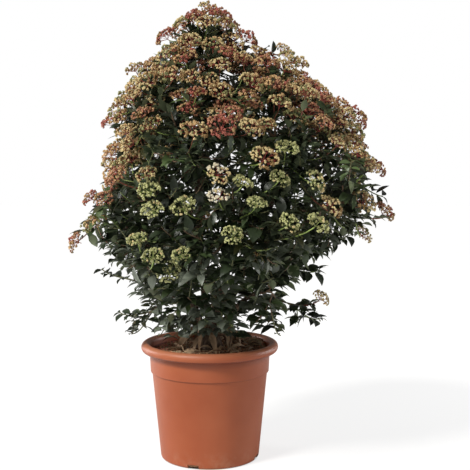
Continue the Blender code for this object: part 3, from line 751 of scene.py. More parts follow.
# Node trees that turn lines into limbs and points into leaves, buds and chips
def nodeTree(name, inputs):
    tree = bpy.data.node_groups.new(name, "GeometryNodeTree")
    tree.interface.new_socket(name="Geometry", in_out="OUTPUT", socket_type="NodeSocketGeometry")
    tree.interface.new_socket(name="Geometry", in_out="INPUT", socket_type="NodeSocketGeometry")
    for label, kind in inputs.items():
        tree.interface.new_socket(name=label, in_out="INPUT", socket_type="NodeSocket" + kind)
    net = Net(tree)
    source = tree.nodes.new("NodeGroupInput")
    return net, {socket.name: Wire(net, socket) for socket in source.outputs}


def closeTree(net, geometry):
    net.feed(net.tree.nodes.new("NodeGroupOutput"), 0, geometry)
    return net.tree


def attribute(net, name, kind="FLOAT"):
    return net.add("GeometryNodeInputNamedAttribute", {"Name": name}, data_type=kind)


def tubeTree():
    inputs = dict(Sides="Int", Relief="Float", Grain="Float", Material="Material")
    net, given = nodeTree("limbs along lines", inputs)
    curves = net.add("GeometryNodeMeshToCurve", {"Mesh": given["Geometry"]})
    ring = net.add("GeometryNodeCurvePrimitiveCircle", {"Resolution": given["Sides"], "Radius": 1.0})
    sockets = {"Curve": curves, "Profile Curve": ring, "Scale": attribute(net, "thick"), "Fill Caps": True}
    tubes = net.add("GeometryNodeCurveToMesh", sockets)
    where = {0: net.add("GeometryNodeInputPosition"), 1: (1, 1, 0.22)}
    along = net.add("ShaderNodeVectorMath", where, operation="MULTIPLY")  # the bark's grain runs up the limb
    grain = net.add("ShaderNodeTexNoise", {"Vector": along, "Scale": given["Grain"], "Detail": 3.0})
    depth = (grain - 0.5) * given["Relief"]
    sockets = {0: net.add("GeometryNodeInputNormal"), "Scale": depth}
    push = net.add("ShaderNodeVectorMath", sockets, operation="SCALE")
    tubes = net.add("GeometryNodeSetPosition", {"Geometry": tubes, "Offset": push})
    tubes = net.add("GeometryNodeRealizeInstances", {"Geometry": tubes})
    tubes = net.add("GeometryNodeSetShadeSmooth", {"Geometry": tubes})
    sockets = {"Geometry": tubes, "Material": given["Material"]}
    return closeTree(net, net.add("GeometryNodeSetMaterial", sockets))


def sprayTree():
    net, given = nodeTree("shapes on points", dict(Shapes="Collection", Face="Material", Back="Material"))
    sockets = {"Collection": given["Shapes"], "Separate Children": True, "Reset Children": True}
    shapes = net.add("GeometryNodeCollectionInfo", sockets)
    sockets = {
        "Points": given["Geometry"], "Instance": shapes, "Pick Instance": True,
        "Instance Index": attribute(net, "pick", "INT"), "Rotation": attribute(net, "turn", "FLOAT_VECTOR"),
        "Scale": attribute(net, "size", "FLOAT_VECTOR"),
    }
    made = net.add("GeometryNodeInstanceOnPoints", sockets)
    made = net.add("GeometryNodeRealizeInstances", {"Geometry": made})
    made = net.add("GeometryNodeSetMaterial", {"Geometry": made, "Material": given["Face"]})
    under = attribute(net, "underside", "BOOLEAN")
    sockets = {"Geometry": made, "Selection": under, "Material": given["Back"]}
    return closeTree(net, net.add("GeometryNodeSetMaterial", sockets))


limbTree, shapeTree = tubeTree(), sprayTree()


def runTree(piece, tree, **values):
    worker = piece.modifiers.new("grow", "NODES")
    worker.node_group = tree
    for socket in tree.interface.items_tree:
        if socket.in_out == "INPUT" and socket.name in values:
            worker[socket.identifier] = values[socket.name]
    return settle(piece)


def withAttributes(name, points, edges, **values):
    mesh = bpy.data.meshes.new(name)
    mesh.from_pydata([tuple(point) for point in points], edges, [])
    for label, rows in values.items():
        whole = label == "pick"
        rows = np.array(rows, np.int32 if whole else np.float32)
        kind, field = "INT" if whole else "FLOAT", "value"
        if rows.ndim == 2:
            kind, field = "FLOAT_VECTOR", "vector"
        mesh.attributes.new(label, kind, "POINT").data.foreach_set(field, rows.ravel())
    return newPiece(name, mesh)


def tubes(name, lines, sides, material, relief=0.0, grain=60.0):
    points, edges, thick = [], [], []
    for line, radii in lines:
        edges += [(len(points) + i, len(points) + i + 1) for i in range(len(line) - 1)]
        points += line
        thick += radii
    piece = withAttributes(name, points, edges, thick=thick)
    return runTree(piece, limbTree, Sides=sides, Relief=relief, Grain=grain, Material=material)


def shapesOnPoints(name, spots, shapes, face, back=None):
    # spots are rows of place, Euler turn, scale and the number of the shape
    points, turns, sizes, picks = zip(*spots)
    piece = withAttributes(name, points, [], turn=turns, size=sizes, pick=picks)
    runTree(piece, shapeTree, Shapes=shapes, Face=face, Back=back or face)
    for label in ("turn", "size", "pick", "underside"):
        if label in piece.data.attributes:
            piece.data.attributes.remove(piece.data.attributes[label])
    return piece


def shapeSet(name, shapes):  # helper objects, kept out of the scene
    kept = bpy.data.collections.new(name)
    for index, (points, faces, under) in enumerate(shapes):
        mesh = bpy.data.meshes.new(f"{name} {index}")
        mesh.from_pydata([tuple(p) for p in points], [], faces)
        if under:
            flags = [face >= under for face in range(len(faces))]
            mesh.attributes.new("underside", "BOOLEAN", "FACE").data.foreach_set("value", flags)
        mesh.polygons.foreach_set("use_smooth", [True] * len(faces))
        mesh.set_sharp_from_angle(angle=math.radians(75))
        kept.objects.link(bpy.data.objects.new(f"{name} {index}", mesh))
    return kept


print("node trees ready")


# Soil: a granular bed with a low rise round the rootstock, and what has fallen on it
soil = dict(
    wallLevel=0.331, top=0.338, riseRadius=0.060, rim=0.1792, foot=0.0064, rings=46, turns=150, closer=0.8,
    sunk=((0.1772, 0.2718), (0.1727, 0.266), (0.1476, 0.0064)),  # down inside the wall to the pot's floor
    lumps=0.0032, lumpScale=42, grit=0.0016, gritScale=170, level=0.012,
    heap=0.019, heapStart=0.118, heapTurns=(0.15, 1.60), heapEdge=0.3,  # litter against the wall behind
    dark=(0.140, 0.078, 0.046), brown=(0.390, 0.215, 0.122), pale=(0.54, 0.36, 0.23),
    edge=0.172,  # chips and dry leaves keep inside this radius
    chips=900, chipSize=0.0042, chipSpread=(0.5, 1.5), chipTilt=(1.2, 1.9), chipRoll=0.3, chipLift=0.0008,
    brownChips=0.6, chipTones=dict(brown=(0.520, 0.250, 0.125), dark=(0.160, 0.088, 0.052)),
    dryLeaves=44, dryRing=(0.05, 0.140), dryLength=(0.050, 0.085), dryRise=(0.05, 0.25), dryTilt=0.5,
    dryLift=0.003, dryReach=0.050, dryColour=(0.43, 0.295, 0.180), dryDark=(0.22, 0.145, 0.090),
    leaning=44, leanRing=(0.118, 0.145), leanLength=(0.028, 0.038), leanRise=(0.25, 0.75), leanTurn=0.8,
    leanFace=(0.2, 1.2), leanLift=0.001,
    hanging=17, hangFrom=(0.45, 0.95), hangTo=(0.078, 0.118), hangSwing=0.03, hangFace=0.4, hangTilt=0.5,
    straws=70, strawRing=(0.03, 0.13), strawBend=0.8, strawPoints=5, strawStep=0.010, strawThick=0.0008,
    strawLift=0.002, strawWave=1.3, strawClear=0.0015, strawEdge=0.170, strawColour=(0.50, 0.39, 0.24),
    fallen=170, fallenRing=(0.11, 0.174), fallenSize=(0.004, 0.007), fallenLift=0.002,
    fallenTurns=((95, 200), (10, 70)), fallenShares=(0.12, 0.9), fallenColour=(0.52, 0.150, 0.115),
)


def soilHeight(x, y):
    s = soil
    radius = math.hypot(x, y)
    share = min(1, max(0, (radius - s["riseRadius"]) / (s["rim"] - s["riseRadius"])))
    level = s["top"] + (s["wallLevel"] - s["top"]) * share
    angle = math.atan2(y, x)
    heaped = min(1, max(0, min(angle - s["heapTurns"][0], s["heapTurns"][1] - angle) / s["heapEdge"]))
    level += heaped * s["heap"] * max(0, (radius - s["heapStart"]) / (s["rim"] - s["heapStart"])) ** 1.5
    quiet = min(1, (s["rim"] - radius) / s["level"])  # smooth where it meets the wall
    lump = noise.fractal(Vector((x, y, 0.3)) * s["lumpScale"], 1.0, 2.0, 3) * s["lumps"]
    grit = noise.noise(Vector((x, y, 0.7)) * s["gritScale"]) * s["grit"]
    return level + (lump + grit) * quiet - 0.001


def makeSoil():
    s = soil
    rows = [(s["rim"] * (ring / s["rings"]) ** s["closer"], None) for ring in range(1, s["rings"] + 1)]
    rows += s["sunk"]
    points, faces = [Vector((0, 0, soilHeight(0, 0)))], []
    for radius, height in rows:
        for turn in range(s["turns"]):
            angle = math.tau * turn / s["turns"]
            x, y = radius * math.cos(angle), radius * math.sin(angle)
            points.append(Vector((x, y, soilHeight(x, y) if height is None else height)))
    points.append(Vector((0, 0, s["foot"])))
    count = s["turns"]
    for turn in range(count):
        after, last = (turn + 1) % count, 1 + (len(rows) - 1) * count
        faces.append((0, 1 + turn, 1 + after))
        for near in range(1, last, count):
            faces.append((near + turn, near + count + turn, near + count + after, near + after))
        faces.append((last + turn, len(points) - 1, last + after))
    made = Finish("potting soil", Roughness=0.95, Specular_IOR_Level=0.2)
    grains = made.add("ShaderNodeTexVoronoi", {"Vector": made.place, "Scale": 210.0})
    tone = made.ramp(made.noise(95, 4, 0.7), (0.30, s["dark"]), (0.56, s["brown"]), (0.74, s["pale"]))
    tone = made.mix(made.level(grains, 0.0, 0.55), s["dark"], tone)
    material = made.finish(relief=made.noise(240, 3) - grains, depth=0.002, Base_Color=tone)
    place(smooth(meshPiece("soilBed", points, faces, material)), "potting_soil", "soil")


def soilPoint(draw, inner=0.045, outer=soil["edge"]):
    radius, angle = math.sqrt(draw.uniform(inner**2, outer**2)), draw.uniform(0, math.tau)
    x, y = radius * math.cos(angle), radius * math.sin(angle)
    return Vector((x, y, soilHeight(x, y)))


def turnAlong(along, face):  # the turn that lays a leaf's length one way, with its upper side towards another
    across = along.cross(face).normalized()
    return tuple(Matrix((across, along, across.cross(along))).transposed().to_euler())


bladeRows = ((0.09, 0.08), (0.24, 0.66), (0.44, 1.0), (0.66, 0.88), (0.86, 0.42))  # place along, and width
plainRows = ((0.12, 0.28), (0.42, 1.0), (0.78, 0.66))  # for leaves inside the crown


def leafShape(width=0.38, arch=0.06, fold=0.18, twist=0.0, thick=0.008, drop=0.10, rows=bladeRows):
    # a closed blade of unit length along y on a short stalk: face above, back below, folded along its rib
    points, faces, lower = [Vector((0, 0, 0))], [], []
    for along, wide in rows:
        half = width / 2 * wide
        height = arch * (1 - (2 * along - 0.9) ** 2) - drop * along**2
        for side in (-1, 1):
            points.append(Vector((side * half, along, height + half * (fold + side * twist * along))))
        points += [Vector((0, along, height + thick / 2)), Vector((0, along, height - thick / 2))]
    points.append(Vector((0, 1, -0.21 * arch - drop * 1.15)))
    tip = len(points) - 1
    for layer, found in ((2, faces), (3, lower)):
        rings = [[1 + 4 * r, 1 + 4 * r + layer, 2 + 4 * r] for r in range(len(rows))]
        rings = [[0] * 3, *rings, [tip] * 3]
        for near, far in zip(rings, rings[1:]):
            for i in range(2):
                face = tuple(dict.fromkeys([near[i], near[i + 1], far[i + 1], far[i]]))
                found.append(face[::-1] if layer == 3 else face)
    return points, faces + lower, len(faces)


def budShape(sides=5, girth=0.46):  # a plump bud of unit height on its point
    points, faces = [Vector((0, 0, 0))], []
    for side in range(sides):
        angle, after = math.tau * side / sides, (side + 1) % sides
        points.append(Vector((girth * math.cos(angle), girth * math.sin(angle), 0.62)))
        faces += [(0, 1 + after, 1 + side), (1 + side, 1 + after, 1 + sides)]
    points.append(Vector((0, 0, 1)))
    return points, faces, 0


def flowerShape(petals=5):  # an open flower of unit width: notched rim, cupped face, short tube below
    points, faces = [Vector((0, 0, -0.42)), Vector((0, 0, 0.02))], []
    for corner in range(petals * 2):
        angle = math.pi * corner / petals
        radius, height = ((0.5, 0.10), (0.24, 0.0))[corner % 2]
        points.append(Vector((radius * math.cos(angle), radius * math.sin(angle), height)))
        this, after = 2 + corner, 2 + (corner + 1) % (petals * 2)
        faces += [(1, this, after), (0, after, this)]
    return points, faces, 0


def plainFinish(name, colour, roughness=0.5, vary=0.25, scale=55, **fixed):
    made = Finish(name, Roughness=roughness, **fixed)
    share = made.level(made.noise(scale, 2), 0.3, 0.7)
    tone = made.mix(share, [v * (1 - vary) for v in colour], [v * (1 + vary) for v in colour])
    return made.finish(relief=made.noise(scale * 9, 2), depth=0.0003, Base_Color=tone)


def layChips(draw):
    chips = shapeSet("chip", [budShape(4, 0.30), budShape(5, 0.62), budShape(4, 0.9)])
    spots = {tone: [] for tone in soil["chipTones"]}
    for _ in range(soil["chips"]):
        here, size = soilPoint(draw), soil["chipSize"] * draw.uniform(*soil["chipSpread"])
        turn = (draw.uniform(*soil["chipTilt"]), around(draw, soil["chipRoll"]), draw.uniform(0, math.tau))
        row = (here + up * soil["chipLift"], turn, (size,) * 3, draw.randrange(3))
        spots["brown" if draw.random() < soil["brownChips"] else "dark"].append(row)
    for tone, rows in spots.items():
        material = plainFinish("chips " + tone, soil["chipTones"][tone], 0.85)
        place(shapesOnPoints("barkChips_" + tone, rows, chips, material), "potting_soil")


def flatLeaves(draw):
    for _ in range(soil["dryLeaves"]):
        here, way = soilPoint(draw, *soil["dryRing"]), flatWay(draw.uniform(0, math.tau))
        along = (way + up * draw.uniform(*soil["dryRise"])).normalized()
        face = (up + Vector((around(draw, soil["dryTilt"]), around(draw, soil["dryTilt"]), 0))).normalized()
        if (here + along * soil["dryReach"]).xy.length < soil["edge"]:
            size = draw.uniform(*soil["dryLength"])
            yield here + up * soil["dryLift"], turnAlong(along, face), (size,) * 3, draw.randrange(3)


def leaningLeaves(draw):  # on the heap behind
    for _ in range(soil["leaning"]):
        out, radius = flatWay(draw.uniform(*soil["heapTurns"])), draw.uniform(*soil["leanRing"])
        here = out * radius + up * (soilHeight(out.x * radius, out.y * radius) + soil["leanLift"])
        along = out + up * draw.uniform(*soil["leanRise"]) + out.cross(up) * around(draw, soil["leanTurn"])
        turn = turnAlong(along.normalized(), up - out * draw.uniform(*soil["leanFace"]))
        yield here, turn, (draw.uniform(*soil["leanLength"]),) * 3, draw.randrange(3)


def hangingLeaves(draw):  # from the rootstock down to the soil
    for index in range(soil["hanging"]):
        out, share = flatWay(index * goldenTurn), draw.uniform(*soil["hangFrom"])
        here = trunkPoint(share) + out * trunkRadius(share)
        end = out * draw.uniform(*soil["hangTo"]) + out.cross(up) * around(draw, soil["hangSwing"])
        along = end + up * (soilHeight(*end.xy) + soil["dryLift"]) - here
        face = out + up * soil["hangFace"] + out.cross(up) * around(draw, soil["hangTilt"])
        yield here, turnAlong(along.normalized(), face), (along.length,) * 3, draw.choice((0, 2))


def layDryLeaves(draw):
    curls = ((0.20, 0.16, 0.65, 0.5), (0.24, 0.05, 0.45, -0.7), (0.15, 0.22, 0.9, 0.2))
    shapes = shapeSet("dry leaf", [leafShape(*curl) for curl in curls])
    rows = [*flatLeaves(draw), *leaningLeaves(draw), *hangingLeaves(draw)]
    face = plainFinish("dry leaf", soil["dryColour"], 0.75, 0.35)
    back = plainFinish("dry leaf back", soil["dryDark"], 0.8, 0.3)
    place(shapesOnPoints("dryLeaves", rows, shapes, face, back), "potting_soil")


def layStraws(draw):
    straws, points = [], soil["strawPoints"]
    for _ in range(soil["straws"]):
        here, heading = soilPoint(draw, *soil["strawRing"]), draw.uniform(0, math.tau)
        bend, line = around(draw, soil["strawBend"]), []
        for step in range(points):
            line.append(here + up * soil["strawLift"] * (1 + math.sin(step * soil["strawWave"])))
            here = here + flatWay(heading + bend * step / (points - 1)) * soil["strawStep"]
        if max(point.xy.length for point in line) < soil["strawEdge"]:
            clear = soil["strawClear"]
            line = [Vector((*point.xy, max(point.z, soilHeight(*point.xy) + clear))) for point in line]
            straws.append((line, [soil["strawThick"]] * points))
    place(tubes("straws", straws, 4, plainFinish("straws", soil["strawColour"], 0.8)), "potting_soil")


def layFallenBuds(draw):  # most of them behind, on either side
    petals, rows = shapeSet("fallen bud", [budShape(4, 0.5), flowerShape()]), []
    while len(rows) < soil["fallen"]:
        here = soilPoint(draw, *soil["fallenRing"])
        angle = math.degrees(math.atan2(here.y, here.x)) % 360
        behind = any(low < angle < high for low, high in soil["fallenTurns"])
        if draw.random() < soil["fallenShares"][behind]:
            turn = (draw.uniform(0, 3), draw.uniform(0, 3), draw.uniform(0, 6))
            size = draw.uniform(*soil["fallenSize"])
            rows.append((here + up * soil["fallenLift"], turn, (size,) * 3, draw.randrange(2)))
    material = plainFinish("fallen buds", soil["fallenColour"], 0.6)
    place(shapesOnPoints("fallenBuds", rows, petals, material), "leaves")


def makeLitter():
    draw = random.Random("litter")
    for lay in (layChips, layDryLeaves, layStraws, layFallenBuds):
        lay(draw)


makeSoil()
makeLitter()
print("soil ready")


# Rootstock and boughs, with the bark's relief
bark = dict(
    rings=34, turns=56, ridge=0.0016, crest=0.33, sides=10, relief=0.0017, grain=240.0,
    dark=(0.050, 0.034, 0.025), mid=(0.150, 0.100, 0.067), pale=(0.29, 0.215, 0.155),
)


def barkFinish():
    made = Finish("bark", Roughness=0.85, Specular_IOR_Level=0.25)
    fissures = made.noise(120, 4, 0.65, made.stretched((1, 1, 0.18)))
    tone = made.ramp(fissures, (0.33, bark["dark"]), (0.52, bark["mid"]), (0.72, bark["pale"]))
    return made.finish(relief=fissures, depth=0.0016, Base_Color=tone)


def makeRootstock(material):
    points, faces = [], []
    for ring in range(bark["rings"] + 1):
        share = ring / bark["rings"]
        flare = crown["flareDepth"] * (1 - share) ** 2
        for side in range(bark["turns"]):
            angle = math.tau * side / bark["turns"]
            radius = trunkRadius(share) * (1 + flare * math.cos(crown["flareLobes"] * angle))
            out = flatWay(angle)
            ridge = noise.noise(Vector((out.x * 5, out.y * 5, share * 1.6)))
            ridge += 0.5 * noise.noise(out * 14 + up * share * 5)
            points.append(trunkPoint(share) + out * (radius - bark["ridge"] + ridge * bark["ridge"]))
    points.append(trunkPoint(1) + up * crown["forkRadius"] * bark["crest"])
    turns, crest = bark["turns"], len(points) - 1
    faces.append(tuple(reversed(range(turns))))
    for side in range(turns):
        after = (side + 1) % turns
        for ring in range(bark["rings"]):
            low, high = ring * turns, (ring + 1) * turns
            faces.append((low + side, low + after, high + after, high + side))
        faces.append((bark["rings"] * turns + side, bark["rings"] * turns + after, crest))
    place(smooth(meshPiece("rootstock", points, faces, material), 60), "bark", "trunk")


barkMaterial = barkFinish()
makeRootstock(barkMaterial)
boughLines = [(limb["fine"]["line"], limb["fine"]["radii"]) for limb in limbs]
boughPiece = tubes("boughs", boughLines, bark["sides"], barkMaterial, bark["relief"], bark["grain"])
place(boughPiece, "bark", *boughNodes)
print("boughs ready")


# Which shoots flower, and in what colour: warm above and at the sides, green in the middle
bloom = dict(
    byHeight=(
        (0.50, 0), (0.60, 0.03), (0.70, 0.05), (0.80, 0.05), (0.92, 0.06), (0.99, 0.20), (1.05, 0.86),
        (1.1, 1),
    ),
    room=((0.80, 0.085), (0.96, 0.061), (1.08, 0.046)), warmHeight=0.93, warmSpan=0.12, vary=0.28,
    outerFrom=0.66, topFrom=1.15,  # outside this share of the reach, or above this height
    leftEdge=-0.08, leftFrom=1.0, leftShare=0.62,  # fewer high up on the left
    sideStart=0.46, sideLift=0.42,  # at the sides the heads are as ripe as higher up in the middle
    sideTo=(1.22, 1.0),  # on the left and on the right
    warm=dict(rose=0.25, salmon=0.26, cream=0.49), side=dict(rose=0.03, salmon=0.16, cream=0.40, khaki=0.41),
    turning=dict(salmon=0.06, cream=0.24, khaki=0.52, lime=0.18), cool=dict(lime=0.82, khaki=0.18),
)


def pickOne(shares, draw):
    return draw.choices(list(shares), list(shares.values()))[0]


def mayFlower(one):
    outer = outness(one["tip"]) > bloom["outerFrom"] or one["tip"].z > bloom["topFrom"]
    return outer and one["kind"] != "shown"


def chooseHeads():
    draw = random.Random("heads")
    found = [one for one in shoots if one["head"]]
    others = [one for one in shoots if mayFlower(one)]
    draw.shuffle(others)
    for one in sorted(others, key=lambda one: one["kind"] != "main"):
        tip = one["tip"]
        left, right, _ = reachAt(tip.z)
        side = min(1, abs(tip.x) / (right if tip.x > 0 else left))
        height = tip.z + max(0, side - bloom["sideStart"]) * bloom["sideLift"]
        share, room = graded(bloom["byHeight"], height), graded(bloom["room"], height)
        share *= bloom["leftShare"] if tip.x < bloom["leftEdge"] and tip.z > bloom["leftFrom"] else 1
        if draw.random() > share or min((tip - other["tip"]).length for other in found) < room:
            continue
        warmth = (height - bloom["warmHeight"]) / bloom["warmSpan"] + draw.gauss(0, bloom["vary"])
        ripe = "side" if side > bloom["sideStart"] and tip.z < bloom["sideTo"][tip.x >= 0] else "warm"
        one["head"] = pickOne(bloom[ripe if warmth > 0.5 else "turning" if warmth > -0.3 else "cool"], draw)
        found.append(one)
    return found


flowering = chooseHeads()
print("in flower:", len(flowering), "shoots")


# Shoots: brown where they are old, red or green below the flower heads
twig = dict(
    youngRings=5, greenRings=8, warmShare=0.75, relief=0.0004,
    tones=dict(
        brown=(0.17, 0.105, 0.062), olive=(0.17, 0.17, 0.075), green=(0.24, 0.31, 0.09),
        russet=(0.24, 0.075, 0.045), fresh=(0.34, 0.46, 0.12),
    ),
    sides=dict(brown=5, olive=4, green=4, russet=4, fresh=4),
)


def makeShoots():
    lines = {tone: [] for tone in twig["tones"]}
    draw = random.Random("shoots")
    for one in shoots:
        line, radii = one["line"], one["radii"]
        tone = "brown" if one["kind"] == "main" else draw.choice(("olive", "olive", "green", "brown"))
        young = min(twig["greenRings" if one["head"] == "lime" else "youngRings"], len(line) - 2)
        if one["head"]:
            warm = one["head"] not in ("lime", "white") and draw.random() < twig["warmShare"]
            lines["russet" if warm else "fresh"].append((line[-young - 1:], radii[-young - 1:]))
            line, radii = line[:-young], radii[:-young]
        lines[tone].append((line, radii))
    for tone, rows in lines.items():
        material = plainFinish("shoots " + tone, twig["tones"][tone], 0.55, 0.2, 70)
        woody = tone == "brown"
        piece = tubes("shoots_" + tone, rows, twig["sides"][tone], material, twig["relief"] if woody else 0.0)
        place(piece, "bark" if woody else "leaves")


makeShoots()
print("shoots ready")


# Leaves: opposite pairs towards the end of each shoot, in sprays of one colour
leaf = dict(
    length=(0.044, 0.062), breadth=(0.88, 1.15), young=0.66, innerSize=1.16,
    grade=((0.45, 0.90), (0.70, 0.97), (0.90, 0.94), (1.10, 0.84)),
    firstPair=0.006, underHead=(0.021, 0.037), limeStalk=1.5, pairSpacing=0.0165, pairVary=(0.8, 1.25),
    closer=((0.50, 0.88), (0.70, 1), (0.90, 1), (1.0, 0.84), (1.2, 0.66)),
    leafy=((1.10, 0.078), (1.22, 0.108)), shownLeafy=0.098,
    innerLeafy=((0.50, 0.080), (0.60, 0.062), (0.85, 0.060), (1.0, 0.076)),
    level=((0.45, 0.78), (0.60, 0.46), (0.95, 0.10)),  # how far a leaf's own way is brought level
    spread=(42, 78), sag=(-0.20, 0.22), upright=1.0, outward=0.22, onward=0.2, tilt=0.42, pairTurn=0.35,
    flat=0.75,  # on a level shoot the pairs turn to its sides
    overSoil=0.372, overRim=0.374, rimRadius=0.185, frontLift=0.17, boxRoom=0.003, lowFrom=0.71, lowSpan=0.17,
    widths=(0.34, 0.37, 0.44, 0.50, 0.60),
    roundness=((0.50, 2), (0.72, 1), (0.95, 0)),  # number of the narrowest width, rounder lower down
    forms=(  # arch, fold and twist
        (0.03, 0.10, -0.3), (0.06, 0.18, 0.0), (0.09, 0.28, 0.25), (0.11, 0.20, 0.1), (0.07, 0.24, -0.2),
    ),
    tones=dict(  # colour, roughness and strength of the gloss
        deep=((0.024, 0.036, 0.017), 0.36, 0.46), dark=((0.012, 0.017, 0.009), 0.38, 0.40),
        mid=((0.040, 0.062, 0.023), 0.38, 0.46), fresh=((0.086, 0.130, 0.045), 0.42, 0.50),
        # the palest tone is painted light: it stands in for the floor's bounce light and the leaves' sheen
        # low down
        olive=((0.066, 0.068, 0.025), 0.42, 0.46), dull=((0.158, 0.180, 0.140), 0.42, 0.60),
    ),
    outerShares=dict(deep=0.38, dark=0.38, mid=0.13, fresh=0.04, olive=0.07),
    innerShares=dict(deep=0.34, dark=0.58, mid=0.06, olive=0.02),
    # low leaves mostly take the palest tone, painted light in place of the shade under the crown
    lowShares=dict(deep=0.12, dark=0.03, mid=0.17, dull=0.66, fresh=0.02), back=(0.11, 0.135, 0.070),
)


def alongFromTip(line, distance):
    for after, before in zip(reversed(line), reversed(line[:-1])):
        length = (after - before).length
        if distance < length:
            return after.lerp(before, distance / length), (after - before).normalized()
        distance -= length
    return None, None


def inBox(point, room=0.0):
    return all(cadLow[i] + room < point[i] < cadHigh[i] - room for i in range(3))


def leafRow(draw, root, way, out, face, size, narrowest, level):
    spread = math.radians(draw.uniform(*leaf["spread"]))
    along = way * math.cos(spread) + out * math.sin(spread)
    along = (along - up * (along.z * level + draw.uniform(*leaf["sag"]))).normalized()
    tilt = Vector([around(draw, leaf["tilt"]) for _ in range(3)])
    turn = turnAlong(along, (face + tilt).normalized())
    scale = (size * draw.uniform(*leaf["breadth"]), size, size)
    shape = min(4, int(narrowest + draw.random() * 3))
    return root, turn, scale, shape, root + along * size


def hangsFree(end):  # inside the solids' box, and clear of the soil and the lip
    least = leaf["overRim" if end.xy.length > leaf["rimRadius"] else "overSoil"]
    least -= leaf["frontLift"] * min(0, end.y)
    return inBox(end, leaf["boxRoom"]) and end.z > least


def dealLeaves():
    draw = random.Random("leaves")
    spots = {tone: [] for tone in leaf["tones"]}
    for one in shoots:
        inner, height = one["kind"] == "inner", one["tip"].z
        # low down most leaves take the pale tone that paints bounce light into their colour
        low = draw.random() < (leaf["lowFrom"] - height) / leaf["lowSpan"] and one["kind"] != "shown"
        tone = pickOne(leaf["lowShares" if low else "innerShares" if inner else "outerShares"], draw)
        distance = draw.uniform(*leaf["underHead"]) if one["head"] else leaf["firstPair"]
        distance *= leaf["limeStalk"] if one["head"] == "lime" else 1
        start, pair = around(draw, math.pi) / 2, 0
        rules = ("grade", "roundness", "closer", "level", "innerLeafy" if inner else "leafy")
        grade, narrowest, closer, level, reach = (graded(leaf[rule], height) for rule in rules)
        reach = leaf["shownLeafy"] if one["kind"] == "shown" else reach
        grade *= leaf["innerSize"] if inner else 1
        while distance < reach:
            root, way = alongFromTip(one["line"], distance)
            if root is None:
                break
            across = way.cross(up).normalized() if way.cross(up).length > 0.05 else Vector((1, 0, 0))
            other = way.cross(across)
            upTurn = 1 - leaf["flat"] * (1 - abs(way.z))
            for half in (0, math.pi):
                turn = (start + pair % 2 * math.pi / 2) * upTurn + half + around(draw, leaf["pairTurn"])
                out = across * math.cos(turn) + other * math.sin(turn)
                face = up * leaf["upright"] + one["out"] * leaf["outward"] + way * leaf["onward"]
                size = draw.uniform(*leaf["length"]) * grade * (leaf["young"] if pair == 0 else 1)
                *row, end = leafRow(draw, root, way, out, face, size, narrowest, level)
                row[-1] += len(leaf["widths"]) if inner else 0
                if hangsFree(end):
                    spots[tone].append(row)
            distance += leaf["pairSpacing"] * closer * draw.uniform(*leaf["pairVary"])
            pair += 1
    return spots


def makeLeaves():
    kinds = [(width, *form) for width, form in zip(leaf["widths"], leaf["forms"])]
    blades = [leafShape(*kind, rows=rows) for rows in (bladeRows, plainRows) for kind in kinds]
    shapes = shapeSet("leaf", blades)
    back = plainFinish("leaf back", leaf["back"], 0.6, 0.12)
    spots, nodes = dealLeaves(), massNodes
    for tone, rows in spots.items():
        colour, roughness, gloss = leaf["tones"][tone]
        face = plainFinish("leaf " + tone, colour, roughness, 0.18, Specular_IOR_Level=gloss)
        place(shapesOnPoints("leaves_" + tone, rows, shapes, face, back), "leaves", *nodes)
        nodes = ()
    return sum(len(rows) for rows in spots.values())


print("leaves ready:", makeLeaves())


# Flower heads: rays from a short stalk, each with tufts of buds, in the colours of their age
head = dict(
    patterns=8, rays=8, tufts=6, buds=4, hub=0.008, ray=0.0235, middle=0.84, tuft=0.0104,
    bud=(0.0054, 0.0072), spread=63, spreadVary=(0.88, 1.12), rayTurn=0.15, rayVary=(0.9, 1.1),
    rayLift=0.25, tuftVary=(0.8, 1.15), tuftFan=1.08, budFan=0.92, jitter=0.32,
    mixed=0.4,  # the share of tufts in another colour than their ray's
    size=(0.84, 1.14), limeSize=0.95, onward=0.45, faceOut=0.38, faceUp=(0.45, 0.95), outFrom=0.12,
    sunk=0.003, stalk=0.0011, rayThick=0.0007, tuftThick=0.0004, open=1.5, room=0.002,
    tones=dict(
        rose=(0.37, 0.105, 0.072), salmon=(0.45, 0.210, 0.112), peach=(0.54, 0.350, 0.160),
        cream=(0.64, 0.510, 0.250), bronze=(0.28, 0.170, 0.060), lime=(0.50, 0.505, 0.225),
        moss=(0.25, 0.245, 0.092), white=(0.80, 0.740, 0.565),
    ),
    kinds=dict(
        rose=dict(rose=0.46, salmon=0.30, peach=0.14, bronze=0.10),
        salmon=dict(salmon=0.42, peach=0.30, rose=0.08, bronze=0.20),
        cream=dict(cream=0.44, peach=0.24, bronze=0.18, moss=0.14),
        khaki=dict(moss=0.34, bronze=0.24, cream=0.24, peach=0.18),
        lime=dict(lime=0.64, moss=0.28, cream=0.08), white=dict(white=0.80, cream=0.20),
    ),
    stalkTones=dict(red=(0.36, 0.060, 0.050), green=(0.30, 0.36, 0.10)),
)


def fanned(draw, way, count, fan):  # one direction along the way and the others evenly round it
    across, first = way.orthogonal().normalized(), draw.uniform(0, math.tau)
    for index in range(count):
        turn = first + math.tau * index / (count - 1)
        lean = (across * math.cos(turn) + way.cross(across) * math.sin(turn)) * (fan if index else 0)
        loose = Vector([draw.gauss(0, 1) for _ in range(3)]) * head["jitter"]
        yield (way + lean + loose).normalized()


